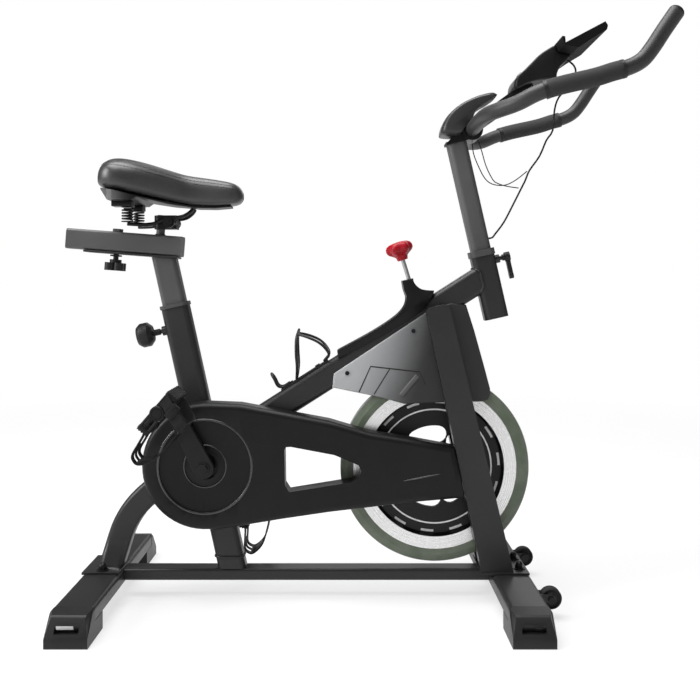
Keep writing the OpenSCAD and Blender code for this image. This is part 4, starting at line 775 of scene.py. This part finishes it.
def red_knob():
    """Six soft lobes under a domed top."""
    low = min(v.co.z for v in nodes["tension_knob"].data.vertices) * 1000
    foot = knob_p + along(rod_lean) * ((low - knob_drop - knob_p.z) / along(rod_lean).z)
    shape = turned([(0, 0), (9, 0), (10, 0.8), (10.6, 4), (12, 8), (17, 11.5), (22.5, 15), (25.4, 19),
                    (26.2, 23), (25.6, 27), (23, 31), (17.5, 34), (9, 35.6), (0, knob_h)], 96)
    for vert in shape.verts:
        turn = math.atan2(vert.co.y, vert.co.x)
        full = max(0, min(1, (vert.co.z - 7) / 8)) * max(0, min(1, (knob_h - vert.co.z) / 8))
        lobe = 1 + (0.5 * math.cos(lobes * turn) - 0.5) * lobe_depth * full
        vert.co.x *= lobe
        vert.co.y *= lobe
    moved(shape, at(foot, rod_lean))
    make("resistance_knob", shape, "knob_red", body_of["tension_knob"], "tension_knob", 60)


def fairing():
    """Moulded neck that sweeps down along the main tube."""
    low = [(-30, 449), (14, 470), (58, 494), (101, 518.5), (126, 536), (138, 549)]
    front = [(143, 560), (149, 570), (150.5, 577), (139, 577.5), (127, 579.5), (118, 585.5), (112.5, 593),
             (111, 600)]
    back = [(91, 595.5), (94, 579), (98.5, 565), (96, 550), (85, 535), (65, 519), (32, 498), (-6, 477),
            (-32, 463)]
    line = flat_spline(low + front[:3], 3) + flat_spline(front[2:], 3) + flat_spline(back, 4)
    neck = pillow(line, half=22.8, edge=6, shrink=0.03, steps=5)
    make("rod_fairing", neck, "cover_plastic", body_of["tension_housing"], "tension_housing", 50)


# ---------- pedals, each in its own frame: X forward, Z on the cage's side ----------

crank_p = xz(-274, 254)
pedal_in, pedal_w, pedal_l, pedal_t = 98, 96, 84, 24
cage_t = 3


def strip(path, t):
    """Outline of a strip of thickness t that follows an open path."""
    pts = [Vector((p[0], p[1])) for p in path]
    left, right = [], []
    for i, p in enumerate(pts):
        way = (pts[min(i + 1, len(pts) - 1)] - pts[max(i - 1, 0)]).normalized()
        side = Vector((-way[1], way[0])) * t / 2
        left.append(tuple(p + side))
        right.append(tuple(p - side))
    return left + right[::-1]


def flat_spline(path, steps):
    return [(p[0], p[1]) for p in spline([(x, z, 0) for x, z in path], steps)]


red_knob()
fairing()


def pedal_block():
    """Toothed front and rear bars, end frames with windows, and the barrel for the spindle."""
    y0, y1 = pedal_in, pedal_in + pedal_w
    parts = []
    for s in (1, -1):
        teeth = [(s * (pedal_l / 2 - (2.2 if i % 2 else 0)), -pedal_t / 2 + 2 + i * (pedal_t - 4) / 8)
                 for i in range(9)]
        outer = teeth + [(s * (pedal_l / 2 - 9), pedal_t / 2 - 2), (s * (pedal_l / 2 - 9), -pedal_t / 2 + 2)]
        parts.append(plate(outer if s > 0 else outer[::-1], y0 + 1, y1 - 1, 0.7, 2))
        # raised tread ribs along the front and rear bars
        for k in range(6):
            y = y0 + 10 + k * (pedal_w - 20) / 5
            parts.append(block((8, 6, pedal_t - 1), (s * (pedal_l / 2 - 5.5), y, 0), 1.2, 2))
        parts.append(block((pedal_l / 2 - 10, 3.5, 5), (s * pedal_l / 4, (y0 + y1) / 2, 0), 0.8, 2))
    # end frames with a window on each side of the barrel
    for y in (y0 + 6, y1 - 6):
        for s in (1, -1):
            parts.append(block((pedal_l - 6, 10, 4.6), (0, y, s * (pedal_t / 2 - 3.8)), 1.6, 3))
            parts.append(block((9, 11, pedal_t - 3), (s * (pedal_l / 2 - 6.5), y, 0), 2.2, 3))
    barrel = turned([(7.1, 0), (11.8, 0), (13, 1.2), (13, pedal_w - 1.2), (11.8, pedal_w), (9, pedal_w),
                     (7.1, pedal_w - 3.4)], 40)
    parts.append(moved(barrel, sideways((0, 0), y0)))
    dust_cap = turned([(0, 0), (7.6, 0), (8.4, 0.7), (8.4, 1.2), (0, 1.6)], 32)
    parts.append(moved(dust_cap, sideways((0, 0), y1 - 0.6)))
    return joined(*parts)


def toe_cage():
    """Moulded cage: two arms that bend over the toe, with crossbars and a rib."""
    y0, y1 = pedal_in + 16, pedal_in + pedal_w - 16
    f = pedal_l / 2 + 1.7
    bend = flat_spline([(f, -9), (f, 3), (f + 17, 7.5), (f + 40, 12), (f + 47.5, 20), (f + 46, 32),
                        (f + 24, 45.5), (f - 10, 48), (7, 47.5)], 6)
    half = (y0 + y1) / 2
    n = len(bend)
    arm, rim = 13, 0.9
    parts = [plate(strip(bend, cage_t), low, low + arm, rim, 2) for low in (y0, y1 - arm)]
    for low, high in ((0, 9), (int(n * 0.56), int(n * 0.74)), (n - 7, n)):
        parts.append(plate(strip(bend[low:high], cage_t), y0 + arm - 1, y1 - arm + 1, rim, 2))
    # stiffening rib down the middle of the toe
    parts.append(plate(strip(bend[int(n * 0.3):int(n * 0.62)], cage_t), half - 4, half + 4, rim, 2))
    return joined(*parts)


def strap():
    """Webbing over the foot: up one side of the pedal, over the cage and down the other."""
    low, high = pedal_in - 1.2, pedal_in + pedal_w + 1.2
    path = [(low, z) for z in (-7, 6, 18, 30, 40)] + [(low + 1.5, 46), (low + 6, 49.6), (low + 14, 51)]
    path += [((low + high) / 2, 52)] + [(low + high - y, z) for y, z in path[::-1]]
    band = flat_spline(path, 3)
    shape = plate(strip(band, 1.6), -10, 10, 0.4, 1)
    bmesh.ops.transform(shape, matrix=Matrix.Rotation(math.radians(90), 4, "Z"), verts=shape.verts)
    for vert in shape.verts:
        vert.co.x = vert.co.x - 27 + (vert.co.z + 7) * 0.33
    buckle = joined(block((27, 3.6, 15), (-20, high + 1.5, 18), 1.4, 2),
                    block((22, 4.4, 2.4), (-19, high + 2.4, 20.5), 0.8, 2))
    return shape, buckle


def pedal(side, p, turn):
    """One whole pedal on its spindle, turned about it, and mirrored on the right."""
    out = -1 if side == "right" else 1
    body = "%s_pedal" % side
    place = at(p, turn) @ Matrix.Scale(out, 4, (0, 1, 0))
    band, buckle = strap()
    for name, shape, finish, node in (("pedal_%s_body", pedal_block(), "pedal_plastic", "pedal_" + side),
                                      ("toe_clip_%s", toe_cage(), "pedal_plastic", "toe_cage_" + side),
                                      ("toe_strap_%s", band, "strap_web", ()),
                                      ("strap_buckle_%s", buckle, "pedal_plastic", ())):
        moved(shape, place)
        bmesh.ops.recalc_face_normals(shape, faces=shape.faces)
        make(name % side, shape, finish, body, node)


pedal("right", xz(-333.83, 369.42), 130.5)
pedal("left", xz(-214.17, 138.58), 102.7)

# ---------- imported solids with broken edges: the width of each round, or 0 for none ----------

broken_edges = {"crank_arms": 1.6, "rear_leg": 0, "fork": 1.4, "base_tube": 0, "seat_tube": 0.5,
                "head_tube": 0.5, "seat_post": 0.5, "handlebar_post": 0.5, "saddle_slider": 0.8,
                "slider_guide": 0.8, "end_caps": 1.2, "stabiliser_bolts": 0.5, "crank_bolts": 0.6,
                "bottle_cage": 0.6, "brake_pad": 0.4, "post_bushings": 0.5, "rear_stabiliser": 0.6,
                "front_stabiliser": 0.6, "flywheel_shroud": 0, "belt_cover": 0,
                "transport_wheel_right": 0.6, "transport_wheel_left": 0.6, "seat_height_pin": 0.8,
                "slider_knob": 1.0, "console_button": 0.4}
for name, width in broken_edges.items():
    soften(name, width)

# ---------- small detail ----------


def groove(points, y, width):
    """Narrow dark line let into a face that looks to the right of the bike."""
    return plate(strip(points, width), y - 0.25, y + 1)


def shroud_detail():
    """Fine lines of the panel on the shroud's side and the rounded rib ahead of them, whose lighter grey is a
    painted highlight.
    """
    y = -23.5
    lines = joined(groove([(9.2, 386.3), (30.9, 434.5), (122.5, 424.3), (134, 400)], y, 2.4),
                   groove([(66.5, 429.5), (37.1, 382.0)], y, 1.8))
    make("panel_outline", both(lines), "cap_plastic", "frame")
    rib = [(119.3, 417.2), (112, 409), (101, 396), (88, 380)]
    steps = 6
    bar = tube(spline([(x, 0, z) for x, z in rib], steps), [4.6] * (3 * steps) + [4.2])
    bmesh.ops.scale(bar, vec=(1, 0.45, 1), verts=bar.verts)
    bmesh.ops.translate(bar, vec=(0, y - 0.2, 0), verts=bar.verts)
    # the rib takes the lighter post grey as a painted highlight on the dark shroud
    make("panel_rib", both(bar), "post_steel", "frame")


def cover_rims():
    """Rounded lips of the cover's dish and of the recess about the crank, and the crease on its tail, in a lighter
    plastic that is partly painted highlight.
    """
    rings = []
    for radius, thick, y in ((86, 2.4, -61.2), (38.5, 1.6, -57.6)):
        lip = [(radius + thick * math.cos(a), 0.8 * thick * math.sin(a))
               for a in (math.radians(20 * k) for k in range(19))]
        rings.append(moved(turned(lip, 120), sideways((crank_p.x, crank_p.z), y, -1)))
    crease = spline([(90, -61.6, 228), (110, -62.2, 231.8), (135, -62.2, 236.8), (157, -61.6, 241)], 5)
    n = len(crease) - 1
    rings.append(tube(crease, [0.4 + 1.3 * math.sin(math.pi * i / n) for i in range(n + 1)], 12))
    # the lips and crease take the lighter lip plastic as a painted highlight
    make("cover_rims", joined(*rings), "lip_plastic", "frame", smooth=70)


def bead(points, radius=2.3):
    """Weld bead: a round fillet with the ripples of its passes."""
    path = spline(points, 8)
    run = 0.0
    radii = []
    for i, p in enumerate(path):
        run += (p - path[i - 1]).length if i else 0
        radii.append(radius * (1 + 0.09 * math.sin(run * 2.1) + 0.08 * noise.noise(p * 0.4)))
    return tube(path, radii, 10)


seat_lean, head_lean, main_rise = -12.5, -12.8, 32.5
main_way, main_up = along(90 - main_rise), along(-main_rise)
main_foot = crank_p + along(seat_lean) * (15 / math.cos(math.radians(seat_lean)))
main_head = main_foot + main_way * ((251 - main_foot[0]) / main_way[0])


def tube_face(half_depth, flat, corner, y):
    """How far a tube with rounded corners stands out from its centre line, at a place across the bike."""
    return half_depth - corner + math.sqrt(max(0, corner ** 2 - max(0, abs(y) - flat) ** 2))


def seat_front(y):
    return tube_face(26, 8, 12, y)


def head_back(y):
    return -tube_face(22.5, 10, 10, y)


def main_tube_bead(start, centre, lean, face):
    """Bead where the main tube's outline meets the face of a leaning tube."""
    side = [(24, y) for y in (-10, -4, 4, 10)] + [(20.5, 17.5), (12, 20), (0, 20), (-12, 20), (-20.5, 17.5)]
    ring = []
    for u, y in side + [(-u, -y) for u, y in side] + side[:1]:
        p = start + main_up * u
        gap = face(y) - (p - centre).dot(across(lean))
        p = p + main_way * (gap / main_way.dot(across(lean)))
        ring.append(Vector((p[0], y * 1.01, p[2])))
    return bead(ring)


def seat_tube_bead():
    """Bead round the seat tube's foot on the base tube."""
    base_top = 76
    foot = crank_p + along(seat_lean) * ((base_top - crank_p.z) / along(seat_lean)[2])
    half = 26 / math.cos(math.radians(seat_lean))
    corner = [(half, 0), (half, 10), (half - 4, 17), (half - 12, 20)]
    loop = corner + [(0, 20)] + [(-x, y) for x, y in corner[::-1]]
    loop += [(x, -y) for x, y in loop[-2:0:-1]] + loop[:1]
    return bead([Vector((foot[0] + x, y, base_top + 0.5)) for x, y in loop])


def welds():
    """Beads round the joints of the welded frame."""
    parts = [main_tube_bead(main_foot, crank_p, seat_lean, seat_front),
             main_tube_bead(main_head, main_head, head_lean, head_back), seat_tube_bead()]
    make("weld_beads", joined(*parts), "frame_paint", "frame")


# middle of the caps' windows: along the bike at the back and front, out from its middle, and height
rear_cap_x, front_cap_x, window_y, window_z = -466.5, 289, 255.5, 30.5
cap_face_lean = 24.1
window_size = (36, 0.5, 12.4)


def cap_windows():
    """Light bar in each rear cap's window and a small dark insert in each front one."""
    lean = Matrix.Rotation(-math.radians(cap_face_lean), 4, "X")
    rear, front = [Matrix.Translation((x, window_y, window_z)) @ lean for x in (rear_cap_x, front_cap_x)]
    bars = moved(block((28, 1.5, 7), (-3, -1.25, 1.5), 0.7, 3), rear)
    plates = joined(moved(block(window_size, (0, -1.75, 0), 0.2, 2), rear),
                    moved(block(window_size, (0, -1.75, 0), 0.2, 2), front),
                    moved(block((11, 1.5, 7), (8, -1.25, 0), 0.6, 3), front))
    make("cap_light_bars", both(bars), "lens_grey", "frame")
    make("cap_inserts", both(plates), "crank_paint", "frame")


shroud_detail()
cover_rims()
welds()
cap_windows()

# ---------- floor, light and camera ----------


def studio():
    """Pale floor that fades to white farther out."""
    floor_mesh = bpy.data.meshes.new("floor")
    b = bmesh.new()
    bmesh.ops.create_grid(b, x_segments=1, y_segments=1, size=30)
    bmesh.ops.translate(b, verts=b.verts, vec=(0, 0, -0.0005))
    b.to_mesh(floor_mesh)
    floor = bpy.data.objects.new("floor", floor_mesh)
    bpy.context.collection.objects.link(floor)
    p = Paint("floor_paper")
    tone = p.noise(1.5, 2, 0.5)
    x, y, z = p.place().xyz()
    far = (x * x + y * y).math("SQRT").step(0.9, 3.5)
    seen = p.value("ShaderNodeLightPath", out="Is Camera Ray")
    mirrored = p.value("ShaderNodeLightPath", out="Is Glossy Ray")
    diffuse = p.add("ShaderNodeBsdfDiffuse", values={"Color": p.mix(tone, grey(0.86), grey(0.9))})
    glow = p.add("ShaderNodeEmission", values={"Color": (1.0, 1.0, 1.0), "Strength": 1.0})
    blend = p.add("ShaderNodeMixShader",
                  values={0: (seen + mirrored).math("MINIMUM", 1.0) * (0.66 + far * 0.34)})
    p.tree.links.new(diffuse.outputs[0], blend.inputs[1])
    p.tree.links.new(glow.outputs[0], blend.inputs[2])
    out = p.add("ShaderNodeOutputMaterial")
    p.tree.links.new(blend.outputs[0], out.inputs["Surface"])
    floor_mesh.materials.append(p.material)


def area(name, place, target, size, power):
    light = bpy.data.lights.new(name, "AREA")
    light.shape = "RECTANGLE"
    light.size, light.size_y = size
    light.energy = power
    obj = bpy.data.objects.new(name, light)
    obj.location = place
    obj.rotation_euler = (Vector(target) - Vector(place)).to_track_quat("-Z", "Y").to_euler()
    bpy.context.collection.objects.link(obj)


def lights():
    """Soft boxes above, at the left, in front and behind, and a dim surround that looks white."""
    area("overhead", (-0.5, -0.3, 3.2), (0, 0, 0.5), (2.4, 2.4), 140)
    area("left", (-3.3, -1.2, 1.9), (0, 0, 0.6), (1.2, 1.8), 105)
    area("front_left", (-2.0, -2.8, 2.0), (0, 0, 0.5), (1.6, 1.6), 8)
    area("front_right", (2.8, -2.2, 1.5), (0, 0, 0.5), (1.6, 2.2), 5)
    area("back", (0.8, 3.0, 2.2), (0, 0, 0.6), (3.0, 2.0), 30)
    world = bpy.data.worlds.new("studio")
    bpy.context.scene.world = world
    world.use_nodes = True
    tree = world.node_tree
    tree.nodes.clear()
    path = tree.nodes.new("ShaderNodeLightPath")
    fill = tree.nodes.new("ShaderNodeBackground")
    fill.inputs["Strength"].default_value = 0.16
    white = tree.nodes.new("ShaderNodeBackground")
    white.inputs["Color"].default_value = (1, 1, 1, 1)
    mix = tree.nodes.new("ShaderNodeMixShader")
    out = tree.nodes.new("ShaderNodeOutputWorld")
    tree.links.new(path.outputs["Is Camera Ray"], mix.inputs[0])
    tree.links.new(fill.outputs[0], mix.inputs[1])
    tree.links.new(white.outputs[0], mix.inputs[2])
    tree.links.new(mix.outputs[0], out.inputs["Surface"])


def camera():
    """Level, at the bike's right side."""
    data = bpy.data.cameras.new("camera")
    data.sensor_width = 36
    data.lens = 46.03
    data.shift_x = 0.0057
    data.shift_y = -0.0886
    obj = bpy.data.objects.new("camera", data)
    obj.location = (-0.0152, -1.70, 0.5815)
    obj.rotation_euler = (math.radians(90), 0, 0)
    bpy.context.collection.objects.link(obj)
    bpy.context.scene.camera = obj


studio()
lights()
camera()
bpy.context.scene.view_settings.view_transform = "Standard"
